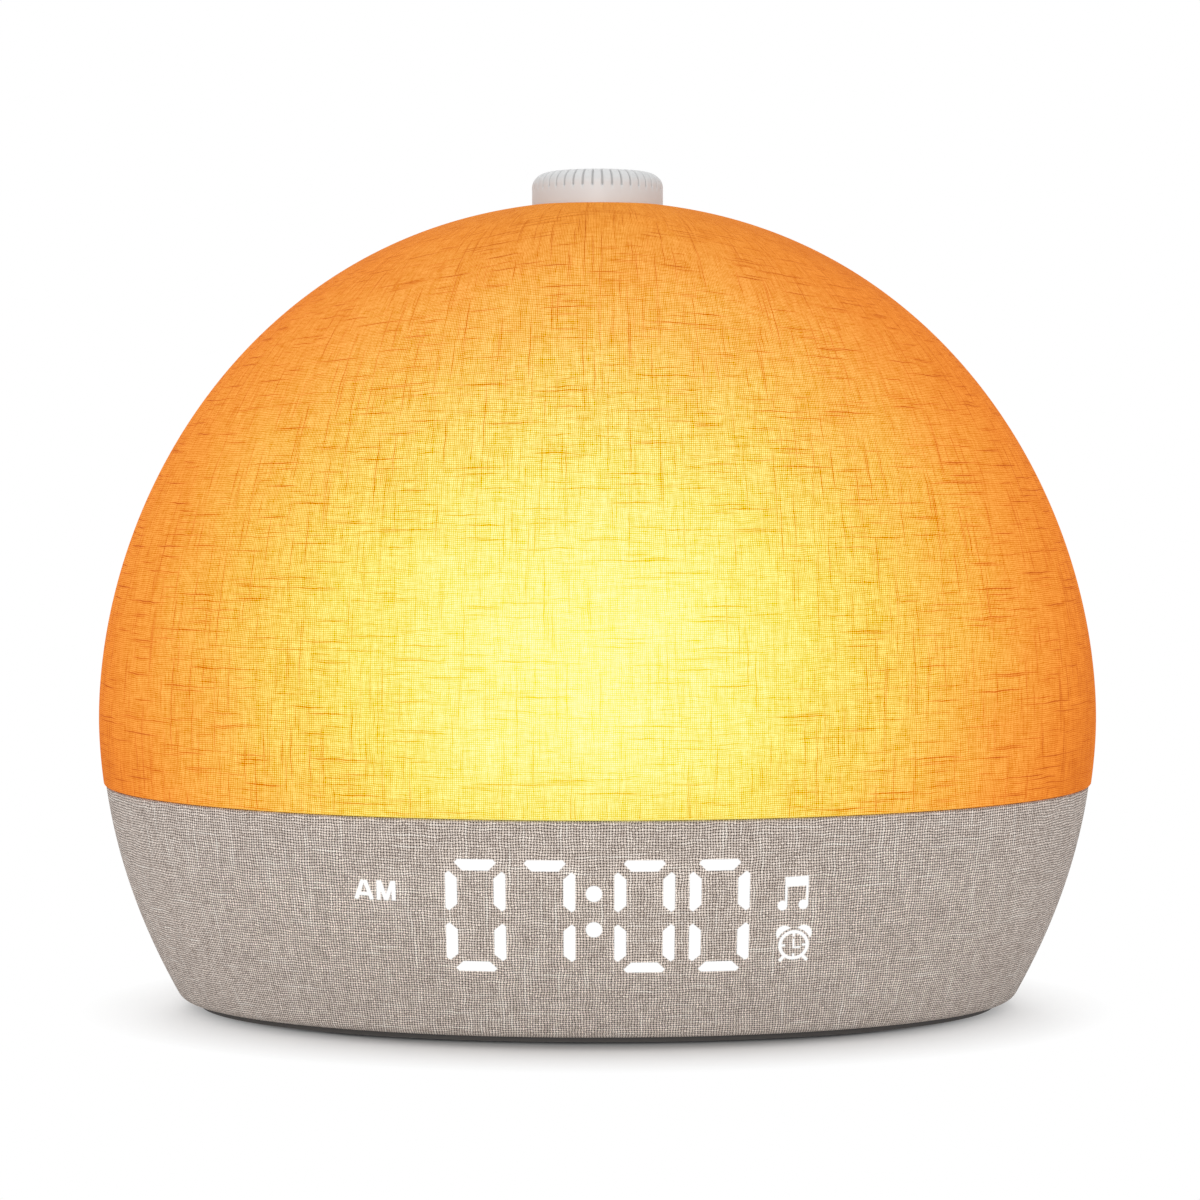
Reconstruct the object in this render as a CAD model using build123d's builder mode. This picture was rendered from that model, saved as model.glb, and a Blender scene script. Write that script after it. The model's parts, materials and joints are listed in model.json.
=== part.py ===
"""Sunrise alarm clock: a fabric-covered light dome on a fabric-covered clock base, with a push-and-turn knob.

Units are millimetres. The origin is on the floor under the middle of the clock, +Z is up, the display faces -Y
and the sockets and buttons face +Y. Every horizontal section of the body is an ellipse. Each wall layer is the
same form drawn in by its own inset, so the fabric, the shell under it and the cavity inside stay parallel.
"""

import os
from math import asin, atan, cos, degrees, radians, sin

from build123d import *

os.makedirs("parts", exist_ok=True)

# ---------------------------------------------------------------- overall form
WIDTH = 200.0  # across the dome where it is widest
DEPTH = 106.0  # front to back at the same level
WIDEST_Z = 58.4  # height of the widest level
CREST_Z = 161.6  # top of the fabric dome
SEAM_Z = 46.0  # where the dome meets the base
HEM_Z = 2.1  # lowest level of the base fabric
BASE_STEP = 0.4  # the base is this much slimmer than the dome all round at the seam
BASE_TAPER = 14.7  # how far the base draws in from the seam to the hem
SEAM_TAPER = 5.4  # the part of that taper that runs straight; the rest grows with the square of the depth
BASE_EDGE = 3.2  # radius of the rounded edge under the base
SIDE_POWER = 2.14  # roundness of the dome's outline across the width
RISE_POWER = 1.89  # roundness of that outline up the height
DEPTH_POWER = 3.0  # fuller from front to back, so that the crown is broad enough for the knob

# ---------------------------------------------------------------- wall layers
FABRIC = 0.8  # thickness of the woven cover
GLUE = 0.1  # glue line between a cover and its shell
DIFFUSER_WALL = 2.0
SHELL_WALL = 2.2
SEAM_GAP = 0.4  # dark line between the two covers
SHELL_INSET = FABRIC + GLUE
DIFFUSER_INSIDE = SHELL_INSET + DIFFUSER_WALL
SHELL_INSIDE = SHELL_INSET + SHELL_WALL
FUSE_INSET = SHELL_INSET + 0.6  # lugs and bosses reach this far into the wall that carries them

# ---------------------------------------------------------------- knob and encoder
KNOB_RADIUS = 13.0
KNOB_TOP_Z = 167.5
KNOB_WALL = 1.8
KNOB_ROOF = 2.0
KNOB_SHOULDER = 3.0
KNOB_RIBS = 42
KNOB_FLUTE_RADIUS = 0.5
KNOB_FLUTE_DEPTH = 0.36
KNOB_TRAVEL = 0.7
KNOB_GAP = 0.5  # ring gap between the knob and the cover's turned-in edge
WELL_FLOOR_Z = 157.4  # floor of the well that the knob sinks into
WELL_FLOOR = 2.4
WELL_WALL = 1.6
FABRIC_RING = (0.9, 0.6)  # width and height of the ring that holds the cover's edge in the well
SKIRT_CLEAR = 0.4  # gap that is left over the ring's seat when the knob is fully pressed
KNOB_SKIRT_Z = WELL_FLOOR_Z + FABRIC_RING[1] + KNOB_TRAVEL + SKIRT_CLEAR
HUB_RADIUS = 5.0
SHAFT_RADIUS = 3.0
SHAFT_FIT = 0.05
SHAFT_FLAT = 1.5  # the D flat lies this far off the shaft's axis
BUSHING_RADIUS = 3.5
BUSHING_LENGTH = 5.0
ENCODER_SIDE = 12.4
ENCODER_HEIGHT = 8.0
WASHER = 0.5
NUT_ACROSS_FLATS = 10.0
NUT_HEIGHT = 1.9
PLUNGER_RADIUS = 3.3
PLUNGER_HEIGHT = 1.0
SPRING_HEIGHT = 2.2
SPRING_WIRE = 0.3
SPRING_TURNS = 3.0

# ---------------------------------------------------------------- light engine
TRAY_THICK = 2.0
TRAY_Z = SEAM_Z - 1.0  # underside of the tray that parts the dome from the base
LIP_THICK = 1.2
LIP_HEIGHT = 3.0
BOARD = 1.6  # thickness of every circuit board
LIGHT_BOARD_HALF = (WIDTH / 2 - 20.0, DEPTH / 2 - 17.0)
STANDOFF = 1.0
LED_SIZE = (3.5, 2.8, 1.4)
LED_RINGS = ((0.85, 0.75, 20), (0.525, 0.4167, 12), (0.15, 0.1111, 4))  # shares of the board's half sizes, count
LIGHT_SCREW_SHARES = ((0.35, 0.5), (0.35, -0.5), (0.6875, 0))  # shares of the board's half sizes, on both sides
DOME_LUG_SHARE = (0.6435, 0.6816)  # where the dome's screw lugs stand, as shares of the room inside its wall

# ---------------------------------------------------------------- display
DISPLAY_Z = 27.3
DISPLAY_SIZE = (94.0, 26.0)
DISPLAY_DEPTH = 15.0  # from the cover's face to the display board
DIGIT_CENTRES = (-22.4, -9.6, 8.7, 22.5)
DIGIT_WIDTH = 11.2
DIGIT_HEIGHT = 23.2
SEGMENT = 2.3  # width of a display segment
CROSS_LENGTH = 7.7
UPRIGHT_LENGTH = 8.0
UPRIGHT_CENTRE = 5.25  # height of an upright segment's middle over the digit's middle
OUTER_CUT = 0.75
INNER_CUT = 1.32
COLON_X = -0.6
COLON_HEIGHTS = (-2.35, 5.0)
COLON_RADIUS = 1.5
SYMBOL_WINDOWS = ((-41.0, 4.5, 9.0, 5.0), (36.5, 4.4, 6.8, 7.8), (36.8, -6.3, 8.6, 9.4))  # x, y, width, height
PIPE_FIT = 0.05
PIPE_DEPTH = 3.5
DISPLAY_BOARD_SIZE = (114.0, 25.4)
DISPLAY_SCREWS = [(x, y) for x in (-53.0, 53.0) for y in (-8.0, 8.0)]
CHIP = (1.6, 0.9, 0.7)

# ---------------------------------------------------------------- rear panel
PANEL_Z = 24.0
PANEL_SIZE = (76.0, 18.0)
PANEL_CORNER = 5.0
PANEL_INSET = 0.3
PANEL_THICK = 2.4
PANEL_FIT = 0.3
LEDGE = 3.0  # overlap of the shell's ledge behind the panel's edge
LEDGE_THICK = 2.2
REAR_BOARD_DEPTH = 12.0  # from the cover's face to the face of the rear board
REAR_BOARD_SIZE = (92.0, 17.0)
BUTTON_NAMES = ("clock", "alarm", "quieter", "louder")
BUTTON_FIRST_X = -8.0
BUTTON_PITCH = 12.5
BUTTON_RADIUS = 3.5
BUTTON_FIT = 0.25
BUTTON_PROUD = 1.3
BUTTON_TRAVEL = 0.5
BUTTON_LIP = 1.1
BUTTON_LIP_THICK = 0.8
STEM_RADIUS = 1.4
SWITCH_SIDE = 6.0
SWITCH_HEIGHT = 3.4
SWITCH_PLUNGER_RADIUS = 1.7
SWITCH_PLUNGER_PROUD = 0.9
USB_X = -28.0
USB_SIZE = (9.0, 3.3)
USB_WALL = 0.3
USB_LENGTH = 9.0
USB_TONGUE = (6.7, 0.7, 5.6)
PLUG_OPENING = (11.0, 5.0)

# ---------------------------------------------------------------- speaker
SPEAKER_X = 24.0 - WIDTH / 2  # inner face of the baffle that carries the speaker
SPEAKER_Z = 24.5
SPEAKER_RADIUS = 19.0
BAFFLE = 2.0
SPEAKER_FLANGE = 1.2
CONE_RADIUS = 12.6
SURROUND_RADIUS = 15.0
BASKET_DEPTH = 8.5
SPEAKER_GASKET = 0.8
SPEAKER_SCREW = 0.8
SPEAKER_SCREW_CIRCLE = 17.4
SPEAKER_SCREW_HEAD = 1.35
MAGNET_RADIUS = 10.0
MAGNET_DEPTH = 7.5
GRILLE_SLOTS = 7
GRILLE_PITCH = 3.6
GRILLE_SLOT = (26.0, 1.6)

# ---------------------------------------------------------------- underside
FOOT_HEIGHT = 1.5
FOOT_WIDTH = 4.0
FOOT_GROOVE = 0.8
FOOT_INSET = 7.0
COVER_REVEAL = 3.6  # how far the cover's edge lies inside the hem
COVER_RIM_TOP_Z = HEM_Z - 0.1
COVER_Z = FOOT_HEIGHT - FOOT_GROOVE
COVER_TOP_Z = HEM_Z + SHELL_INSET - 0.1
HEM_OVERLAP = 2.4  # width of the cover's rim that holds the hem
FLANGE = 2.0
FLANGE_INSET = 11.0
POST_RADIUS = 3.4
POST_SHARE = (0.664, 0.6005)  # where the posts stand, as shares of the half sizes of the shell's opening
LUG_REACH = 3.24  # how far the middle lugs' screws stand inside that opening
LUG_HEIGHT = 6.0
BOTTOM_SCREW = 8.0
BOTTOM_SCREW_HEAD = 1.2
MAIN_BOARD_Z = 9.0
MAIN_BOARD_SIZE = (0.42 * WIDTH, 32.0)
MAIN_BOARD_Y = -2.0

# ---------------------------------------------------------------- screws and leads
SCREW_RADIUS = 1.3
SCREW_HEAD_RADIUS = 2.5
SCREW_HEAD = 1.4
SCREW_FIT = 0.1
LEAD_RADIUS = 1.1
CLEAR = 0.3  # clearance between neighbouring pieces that don't touch


# ================================================================ the body's form
def dome_section(z, inset):
    """Half width and half depth of the dome at height z, on the layer that lies inset below its face."""
    rise = abs(z - WIDEST_Z) / (CREST_Z - WIDEST_Z - inset)
    half_width = (WIDTH / 2 - inset) * (1 - rise**RISE_POWER) ** (1 / SIDE_POWER)
    half_depth = (DEPTH / 2 - inset) * (1 - rise**2) ** (1 / DEPTH_POWER)
    return half_width, half_depth


def dome_body(inset, low, levels=14):
    """The closed dome from height low up to the rim of the knob's well, on the layer at an inset below its face."""
    rim = KNOB_RADIUS + KNOB_GAP / 2
    share = (1 - (rim / (WIDTH / 2 - inset)) ** SIDE_POWER) ** (1 / RISE_POWER)
    height = CREST_Z - WIDEST_Z - inset
    first, last = asin((low - WIDEST_Z) / height), asin(share)
    with BuildPart() as body:
        for step in range(levels):
            z = WIDEST_Z + height * sin(first + (last - first) * step / (levels - 1))
            with BuildSketch(Plane.XY.offset(z)):
                Ellipse(*dome_section(z, inset))
        loft()
    return body.part


def base_section(z, inset):
    """Half width and half depth of the base at height z, on the layer that lies inset below its face."""
    half_width, half_depth = dome_section(SEAM_Z, BASE_STEP + inset)
    down = (SEAM_Z - z) / (SEAM_Z - HEM_Z)
    taper = SEAM_TAPER * down + (BASE_TAPER - SEAM_TAPER) * down**2
    return half_width - taper, half_depth - taper


def base_body(inset, low, high, edge=0.0, levels=6):
    """The closed base between two heights, on the layer at an inset below its face, with its lower edge rounded."""
    with BuildPart() as body:
        for step in range(levels):
            z = low + (high - low) * step / (levels - 1)
            with BuildSketch(Plane.XY.offset(z)):
                Ellipse(*base_section(z, inset))
        loft()
        if edge > 0:
            fillet(body.edges().group_by(Axis.Z)[0], edge)
    return body.part


def wall_point(z):
    """Half depth of the base's face at height z, and how far that face leans from upright, in degrees."""
    half_depth = base_section(z, 0)[1]
    step = 0.5
    lean = degrees(atan((base_section(z + step, 0)[1] - base_section(z - step, 0)[1]) / (2 * step)))
    return half_depth, lean


front_y, front_lean = wall_point(DISPLAY_Z)
back_y, back_lean = wall_point(PANEL_Z)
front_normal = (0, -cos(radians(front_lean)), -sin(radians(front_lean)))
back_normal = (0, cos(radians(back_lean)), -sin(radians(back_lean)))
front_plane = Plane(origin=(0, -front_y, DISPLAY_Z), x_dir=(1, 0, 0), z_dir=front_normal)
back_plane = Plane(origin=(0, back_y, PANEL_Z), x_dir=(-1, 0, 0), z_dir=back_normal)


def half_space(side):
    """A large box that covers the rear half of the base, or its front half where side is -1."""
    return Pos(0, side * DEPTH, SEAM_Z / 2) * Box(2 * WIDTH, 2 * DEPTH, 2 * SEAM_Z, mode=Mode.PRIVATE)


def write(part, name):
    """Labels a finished piece and writes its file."""
    part.label = name
    export_step(part, f"parts/{name}.step")


def ellipse_slab(half, low, high):
    """An elliptical plate with half axes half, between two heights."""
    with BuildPart() as slab:
        with BuildSketch(Plane.XY.offset(low)):
            Ellipse(*half)
        extrude(amount=high - low)
    return slab.part


def inset_half(half, inset):
    """Both half axes of an ellipse, drawn in by inset."""
    return half[0] - inset, half[1] - inset


def screws(plane, places, length, head_radius=SCREW_HEAD_RADIUS, head=SCREW_HEAD, radius=SCREW_RADIUS):
    """Pan-head screws whose heads rest on a plane, with their shanks running against its normal."""
    with BuildPart() as group:
        with BuildSketch(plane):
            with Locations(*places):
                Circle(head_radius)
        extrude(amount=head)
        with BuildSketch(plane):
            with Locations(*places):
                Circle(radius)
        extrude(amount=-length)
        with BuildSketch(plane.offset(head)):
            with Locations(*places):
                Rectangle(head_radius * 1.1, 0.6)
                Rectangle(0.6, head_radius * 1.1)
        extrude(amount=-0.6 * head, mode=Mode.SUBTRACT)
    return group.part


def lead(points, radii, radius=LEAD_RADIUS):
    """A round cable of straight runs joined by tangent bends."""
    with BuildPart() as cable:
        with BuildLine() as route:
            FilletPolyline(*points, radius=radii)
        start = route.line @ 0
        with BuildSketch(Plane(origin=start, z_dir=route.line % 0)):
            Circle(radius)
        sweep(path=route.line)
    return cable.part


def box_between(low, high):
    """A box given by two opposite corners, not joined to anything."""
    size = [high[i] - low[i] for i in range(3)]
    centre = [(high[i] + low[i]) / 2 for i in range(3)]
    return Pos(*centre) * Box(*size, mode=Mode.PRIVATE)


def four_corners(half, share):
    """Four places at given shares of the half sizes, one in each quarter."""
    return [(x * share[0] * half[0], y * share[1] * half[1]) for x in (-1, 1) for y in (-1, 1)]


hem_half = base_section(HEM_Z, 0)
opening_half = inset_half(hem_half, FLANGE_INSET)
post_places = four_corners(opening_half, POST_SHARE)
lug_places = [(0, LUG_REACH - opening_half[1]), (0, opening_half[1] - LUG_REACH)]

# ================================================================ dome
well_radius = KNOB_RADIUS + KNOB_GAP + FABRIC + GLUE
tray_top_z = TRAY_Z + TRAY_THICK
dome_low = SEAM_Z + SEAM_GAP / 2

with BuildPart() as dome_fabric:
    add(dome_body(0, dome_low))
    add(dome_body(FABRIC, dome_low), mode=Mode.SUBTRACT)
    with BuildSketch(Plane.XY.offset(WELL_FLOOR_Z + GLUE)):
        Circle(KNOB_RADIUS + KNOB_GAP + FABRIC)
    extrude(amount=CREST_Z - WELL_FLOOR_Z)
    add(dome_body(0, dome_low), mode=Mode.INTERSECT)
    with BuildSketch(Plane.XY.offset(WELL_FLOOR_Z)):
        Circle(KNOB_RADIUS + KNOB_GAP)
    extrude(amount=KNOB_TOP_Z - WELL_FLOOR_Z, mode=Mode.SUBTRACT)
write(dome_fabric.part, "dome_fabric")

dome_lug_places = four_corners(dome_section(tray_top_z, DIFFUSER_INSIDE), DOME_LUG_SHARE)
DOME_LUG = 8.0

with BuildPart() as dome_diffuser:
    add(dome_body(SHELL_INSET, tray_top_z))
    add(dome_body(DIFFUSER_INSIDE, tray_top_z), mode=Mode.SUBTRACT)
    with BuildSketch(Plane.XY.offset(WELL_FLOOR_Z - WELL_FLOOR)):
        Circle(well_radius + WELL_WALL)
    extrude(amount=CREST_Z - WELL_FLOOR_Z + WELL_FLOOR)
    with BuildSketch(Plane.XY.offset(tray_top_z)):
        with Locations(*dome_lug_places):
            Circle(POST_RADIUS + 1.2)
    extrude(amount=DOME_LUG)
    add(dome_body(SHELL_INSET, tray_top_z), mode=Mode.INTERSECT)
    with BuildSketch(Plane.XY.offset(WELL_FLOOR_Z)):
        Circle(well_radius)
    extrude(amount=KNOB_TOP_Z - WELL_FLOOR_Z, mode=Mode.SUBTRACT)
    with BuildSketch(Plane.XY.offset(WELL_FLOOR_Z)):
        Circle(BUSHING_RADIUS + SCREW_FIT)
    extrude(amount=-WELL_FLOOR, mode=Mode.SUBTRACT)
    with BuildSketch(Plane.XY.offset(tray_top_z)):
        with Locations(*dome_lug_places):
            Circle(SCREW_RADIUS + SCREW_FIT)
    extrude(amount=DOME_LUG - 1.5, mode=Mode.SUBTRACT)
write(dome_diffuser.part, "dome_diffuser")

with BuildPart() as fabric_ring:
    with BuildSketch(Plane.XY.offset(WELL_FLOOR_Z + GLUE)):
        Circle(KNOB_RADIUS + KNOB_GAP)
        Circle(KNOB_RADIUS + KNOB_GAP - FABRIC_RING[0], mode=Mode.SUBTRACT)
    extrude(amount=FABRIC_RING[1])
write(fabric_ring.part, "fabric_ring")

# ================================================================ knob
knob_roof_z = KNOB_TOP_Z - KNOB_ROOF
hub_low_z = WELL_FLOOR_Z - WELL_FLOOR + BUSHING_LENGTH + KNOB_TRAVEL + 0.5
clip_thick = 0.4
clip_size = (4.0, knob_roof_z - hub_low_z - 0.6)

with BuildPart() as knob:
    with BuildSketch(Plane.XY.offset(KNOB_SKIRT_Z)):
        Circle(KNOB_RADIUS)
    extrude(amount=KNOB_TOP_Z - KNOB_SKIRT_Z)
    fillet(knob.edges().group_by(Axis.Z)[-1], KNOB_SHOULDER)
    flute_arc = KNOB_RADIUS + KNOB_FLUTE_RADIUS - KNOB_FLUTE_DEPTH
    corner_z = KNOB_TOP_Z - KNOB_SHOULDER
    bend = KNOB_SHOULDER + KNOB_FLUTE_RADIUS - KNOB_FLUTE_DEPTH
    with BuildPart(mode=Mode.PRIVATE) as flute:
        with BuildLine(Plane.XZ) as flute_path:
            Line((flute_arc, corner_z - 0.9), (flute_arc, corner_z))
            JernArc((flute_arc, corner_z), (0, 1), bend, 84)
        with BuildSketch(Plane(origin=(flute_arc, 0, corner_z - 0.9), z_dir=(0, 0, 1))):
            Circle(KNOB_FLUTE_RADIUS)
        sweep(path=flute_path.line)
        with Locations((flute_arc, 0, corner_z - 0.9)):
            Sphere(KNOB_FLUTE_RADIUS)
    with PolarLocations(0, KNOB_RIBS):
        add(flute.part, mode=Mode.SUBTRACT)
    with BuildSketch(Plane.XY.offset(KNOB_SKIRT_Z)):
        Circle(KNOB_RADIUS - KNOB_WALL)
    extrude(amount=knob_roof_z - KNOB_SKIRT_Z, mode=Mode.SUBTRACT)
    with BuildSketch(Plane.XY.offset(hub_low_z)):
        Circle(HUB_RADIUS)
    extrude(amount=knob_roof_z - hub_low_z)
    with BuildSketch(Plane.XY.offset(hub_low_z)):
        with BuildSketch(mode=Mode.PRIVATE) as d_bore:
            Circle(SHAFT_RADIUS + SHAFT_FIT)
            with Locations((SHAFT_FLAT + SHAFT_FIT, 0)):
                Rectangle(SHAFT_RADIUS * 2, SHAFT_RADIUS * 3, align=(Align.MIN, Align.CENTER), mode=Mode.SUBTRACT)
        add(d_bore.sketch)
        with Locations((SHAFT_FLAT, 0)):
            Rectangle(clip_thick + 2 * SHAFT_FIT, clip_size[0] + 0.1, align=(Align.MIN, Align.CENTER))
    extrude(amount=knob_roof_z - hub_low_z, mode=Mode.SUBTRACT)
write(knob.part, "knob")

with BuildPart() as knob_clip:
    add(box_between(
        (SHAFT_FLAT + SHAFT_FIT, -clip_size[0] / 2, hub_low_z + 0.3),
        (SHAFT_FLAT + SHAFT_FIT + clip_thick, clip_size[0] / 2, hub_low_z + 0.3 + clip_size[1]),
    ))
write(knob_clip.part, "knob_clip")

# ================================================================ encoder
encoder_top_z = WELL_FLOOR_Z - WELL_FLOOR
encoder_low_z = encoder_top_z - ENCODER_HEIGHT
chamber_low_z = encoder_low_z + 1.0
collar = 1.2
chamber_radius = PLUNGER_RADIUS + 0.6
plunger_z = chamber_low_z + SPRING_HEIGHT
shaft_low_z = plunger_z + PLUNGER_HEIGHT
chamber_top_z = shaft_low_z + collar + 0.3

with BuildPart() as encoder_shaft:
    with BuildSketch(Plane.XY.offset(shaft_low_z)):
        Circle(SHAFT_RADIUS + 0.5)
    extrude(amount=collar)
    with BuildSketch(Plane.XY.offset(shaft_low_z)):
        Circle(SHAFT_RADIUS)
    extrude(amount=knob_roof_z - 0.2 - shaft_low_z)
    chamfer(encoder_shaft.edges().group_by(Axis.Z)[-1], 0.3)
    add(box_between((SHAFT_FLAT, -5, hub_low_z - 0.2), (5, 5, KNOB_TOP_Z)), mode=Mode.SUBTRACT)
write(encoder_shaft.part, "encoder_shaft")

with BuildPart() as encoder_plunger:
    with BuildSketch(Plane.XY.offset(plunger_z)):
        Circle(PLUNGER_RADIUS)
    extrude(amount=PLUNGER_HEIGHT - 0.05)
write(encoder_plunger.part, "encoder_plunger")

with BuildPart() as push_spring:
    spring_radius = PLUNGER_RADIUS - SPRING_WIRE
    spring_rise = SPRING_HEIGHT - SPRING_WIRE - 0.02
    with BuildLine(Plane.XY.offset(chamber_low_z + SPRING_WIRE / 2 + 0.01)) as coil:
        Helix(pitch=spring_rise / SPRING_TURNS, height=spring_rise, radius=spring_radius)
    with BuildSketch(Plane(origin=coil.line @ 0, z_dir=coil.line % 0)):
        Circle(SPRING_WIRE / 2)
    sweep(path=coil.line, is_frenet=True)
write(push_spring.part, "push_spring")

with BuildPart() as encoder_body:
    with BuildSketch(Plane.XY.offset(encoder_low_z)):
        RectangleRounded(ENCODER_SIDE, ENCODER_SIDE, 0.6)
    extrude(amount=ENCODER_HEIGHT)
    with BuildSketch(Plane.XY.offset(encoder_top_z)):
        Circle(BUSHING_RADIUS)
    extrude(amount=BUSHING_LENGTH)
    chamfer(encoder_body.edges().group_by(Axis.Z)[-1], 0.2)
    with BuildSketch(Plane.XY.offset(chamber_low_z)):
        Circle(chamber_radius)
    extrude(amount=chamber_top_z - chamber_low_z, mode=Mode.SUBTRACT)
    with BuildSketch(Plane.XY.offset(chamber_low_z)):
        Circle(SHAFT_RADIUS + SHAFT_FIT)
    extrude(amount=ENCODER_HEIGHT + BUSHING_LENGTH, mode=Mode.SUBTRACT)
write(encoder_body.part, "encoder_body")

with BuildPart() as encoder_washer:
    with BuildSketch(Plane.XY.offset(WELL_FLOOR_Z)):
        Circle(6.5)
        Circle(BUSHING_RADIUS + SCREW_FIT, mode=Mode.SUBTRACT)
    extrude(amount=WASHER)
write(encoder_washer.part, "encoder_washer")

with BuildPart() as encoder_nut:
    with BuildSketch(Plane.XY.offset(WELL_FLOOR_Z + WASHER)):
        RegularPolygon(NUT_ACROSS_FLATS / 2, 6, major_radius=False)
        Circle(BUSHING_RADIUS + SHAFT_FIT, mode=Mode.SUBTRACT)
    extrude(amount=NUT_HEIGHT)
write(encoder_nut.part, "encoder_nut")

with BuildPart() as encoder_board:
    with BuildSketch(Plane.XY.offset(encoder_low_z - BOARD)):
        Circle(11.0)
    extrude(amount=BOARD)
write(encoder_board.part, "encoder_board")

# ================================================================ light engine and tray
light_board_z = tray_top_z + STANDOFF
board_top_z = light_board_z + BOARD
reflector_thick = 0.8
light_screw_places = [
    (side * x * LIGHT_BOARD_HALF[0], y * LIGHT_BOARD_HALF[1]) for side in (-1, 1) for x, y in LIGHT_SCREW_SHARES
]
light_lead_place = (30.0, 4.0)
tray_half = base_section(TRAY_Z, SHELL_INSET)
lip_down = base_section(TRAY_Z - LIP_HEIGHT, SHELL_INSIDE + 0.15)
lip_up = dome_section(tray_top_z, DIFFUSER_INSIDE + 0.15)
flange_top_z = HEM_Z + SHELL_INSET + FLANGE

with BuildPart() as light_tray:
    add(ellipse_slab(tray_half, TRAY_Z, tray_top_z))
    add(ellipse_slab(lip_down, TRAY_Z - LIP_HEIGHT, TRAY_Z))
    add(ellipse_slab(inset_half(lip_down, LIP_THICK), TRAY_Z - LIP_HEIGHT, TRAY_Z), mode=Mode.SUBTRACT)
    add(ellipse_slab(lip_up, tray_top_z, tray_top_z + LIP_HEIGHT))
    add(ellipse_slab(inset_half(lip_up, LIP_THICK), tray_top_z, tray_top_z + LIP_HEIGHT), mode=Mode.SUBTRACT)
    add(box_between(
        (-DISPLAY_BOARD_SIZE[0] / 2 - 5, -DEPTH, TRAY_Z - LIP_HEIGHT), (DISPLAY_BOARD_SIZE[0] / 2 + 5, -20, TRAY_Z),
    ), mode=Mode.SUBTRACT)
    add(box_between(
        (SPEAKER_X - BAFFLE - 1, -DEPTH, TRAY_Z - LIP_HEIGHT), (SPEAKER_X + 1, DEPTH, TRAY_Z),
    ), mode=Mode.SUBTRACT)
    with BuildSketch(Plane.XY.offset(tray_top_z)):
        with Locations(*light_screw_places):
            Circle(3.6)
    extrude(amount=STANDOFF)
    with BuildSketch(Plane.XY.offset(flange_top_z + 0.05)):
        with Locations(*post_places):
            Circle(POST_RADIUS)
    extrude(amount=TRAY_Z - flange_top_z)
    with BuildSketch(Plane.XY.offset(tray_top_z)):
        with Locations(*dome_lug_places):
            Circle(POST_RADIUS + 1.5)
    extrude(amount=LIP_HEIGHT, mode=Mode.SUBTRACT)
    with BuildSketch(Plane.XY.offset(TRAY_Z)):
        with Locations(*dome_lug_places):
            Circle(SCREW_HEAD_RADIUS + CLEAR)
    extrude(amount=-LIP_HEIGHT, mode=Mode.SUBTRACT)
    with BuildSketch(Plane.XY.offset(TRAY_Z)):
        with Locations(*dome_lug_places):
            Circle(SCREW_RADIUS + SCREW_FIT)
        with Locations(light_lead_place, (0, 0)):
            Circle(3.0)
    extrude(amount=TRAY_THICK, mode=Mode.SUBTRACT)
    with BuildSketch(Plane.XY.offset(tray_top_z + STANDOFF)):
        with Locations(*light_screw_places):
            Circle(SCREW_RADIUS + SCREW_FIT)
    extrude(amount=-STANDOFF - TRAY_THICK, mode=Mode.SUBTRACT)
    with BuildSketch(Plane.XY.offset(flange_top_z)):
        with Locations(*post_places):
            Circle(SCREW_RADIUS + SCREW_FIT)
    extrude(amount=BOTTOM_SCREW, mode=Mode.SUBTRACT)
write(light_tray.part, "light_tray")

with BuildPart() as dome_screws:
    add(screws(Plane(origin=(0, 0, TRAY_Z), x_dir=(1, 0, 0), z_dir=(0, 0, -1)), dome_lug_places, 8.0))
write(dome_screws.part, "dome_screws")

led_places = []
for share_x, share_y, count in LED_RINGS:
    for number in range(count):
        angle = radians(360 * (number + 0.5) / count)
        led_places.append((
            share_x * LIGHT_BOARD_HALF[0] * cos(angle), share_y * LIGHT_BOARD_HALF[1] * sin(angle),
        ))

with BuildPart() as light_board:
    add(ellipse_slab(LIGHT_BOARD_HALF, light_board_z, board_top_z))
    with BuildSketch(Plane.XY.offset(light_board_z)):
        with Locations(*light_screw_places):
            Circle(SCREW_RADIUS + SCREW_FIT)
        Circle(2.2)
    extrude(amount=BOARD, mode=Mode.SUBTRACT)
    with BuildSketch(Plane.XY.offset(light_board_z)):
        with Locations(light_lead_place):
            Rectangle(4.0, 3.0)
    extrude(amount=-0.9)
write(light_board.part, "light_board")

with BuildPart() as light_leds:
    with BuildSketch(Plane.XY.offset(board_top_z)):
        with Locations(*led_places):
            Rectangle(LED_SIZE[0], LED_SIZE[1])
    extrude(amount=LED_SIZE[2])
write(light_leds.part, "light_leds")

with BuildPart() as light_reflector:
    with BuildSketch(Plane.XY.offset(board_top_z + 0.05)):
        Ellipse(*LIGHT_BOARD_HALF)
    with BuildSketch(Plane.XY.offset(board_top_z + 7.0)):
        Ellipse(*inset_half(LIGHT_BOARD_HALF, -9.5))
    loft()
    with BuildSketch(Plane.XY.offset(board_top_z + 0.05 + reflector_thick)):
        Ellipse(*inset_half(LIGHT_BOARD_HALF, 1.0))
    with BuildSketch(Plane.XY.offset(board_top_z + 7.0)):
        Ellipse(*inset_half(LIGHT_BOARD_HALF, -8.3))
    loft(mode=Mode.SUBTRACT)
    with BuildSketch(Plane.XY.offset(board_top_z)):
        with Locations(*led_places):
            Rectangle(LED_SIZE[0] + 0.6, LED_SIZE[1] + 0.6)
        with Locations(*light_screw_places):
            Circle(SCREW_RADIUS + SCREW_FIT)
        Circle(2.2)
    extrude(amount=2.0, mode=Mode.SUBTRACT)
    with BuildSketch(Plane.XY.offset(board_top_z + 2.0)):
        with Locations(*dome_lug_places):
            Circle(POST_RADIUS + 1.6)
    extrude(amount=6.0, mode=Mode.SUBTRACT)
write(light_reflector.part, "light_reflector")

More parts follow.
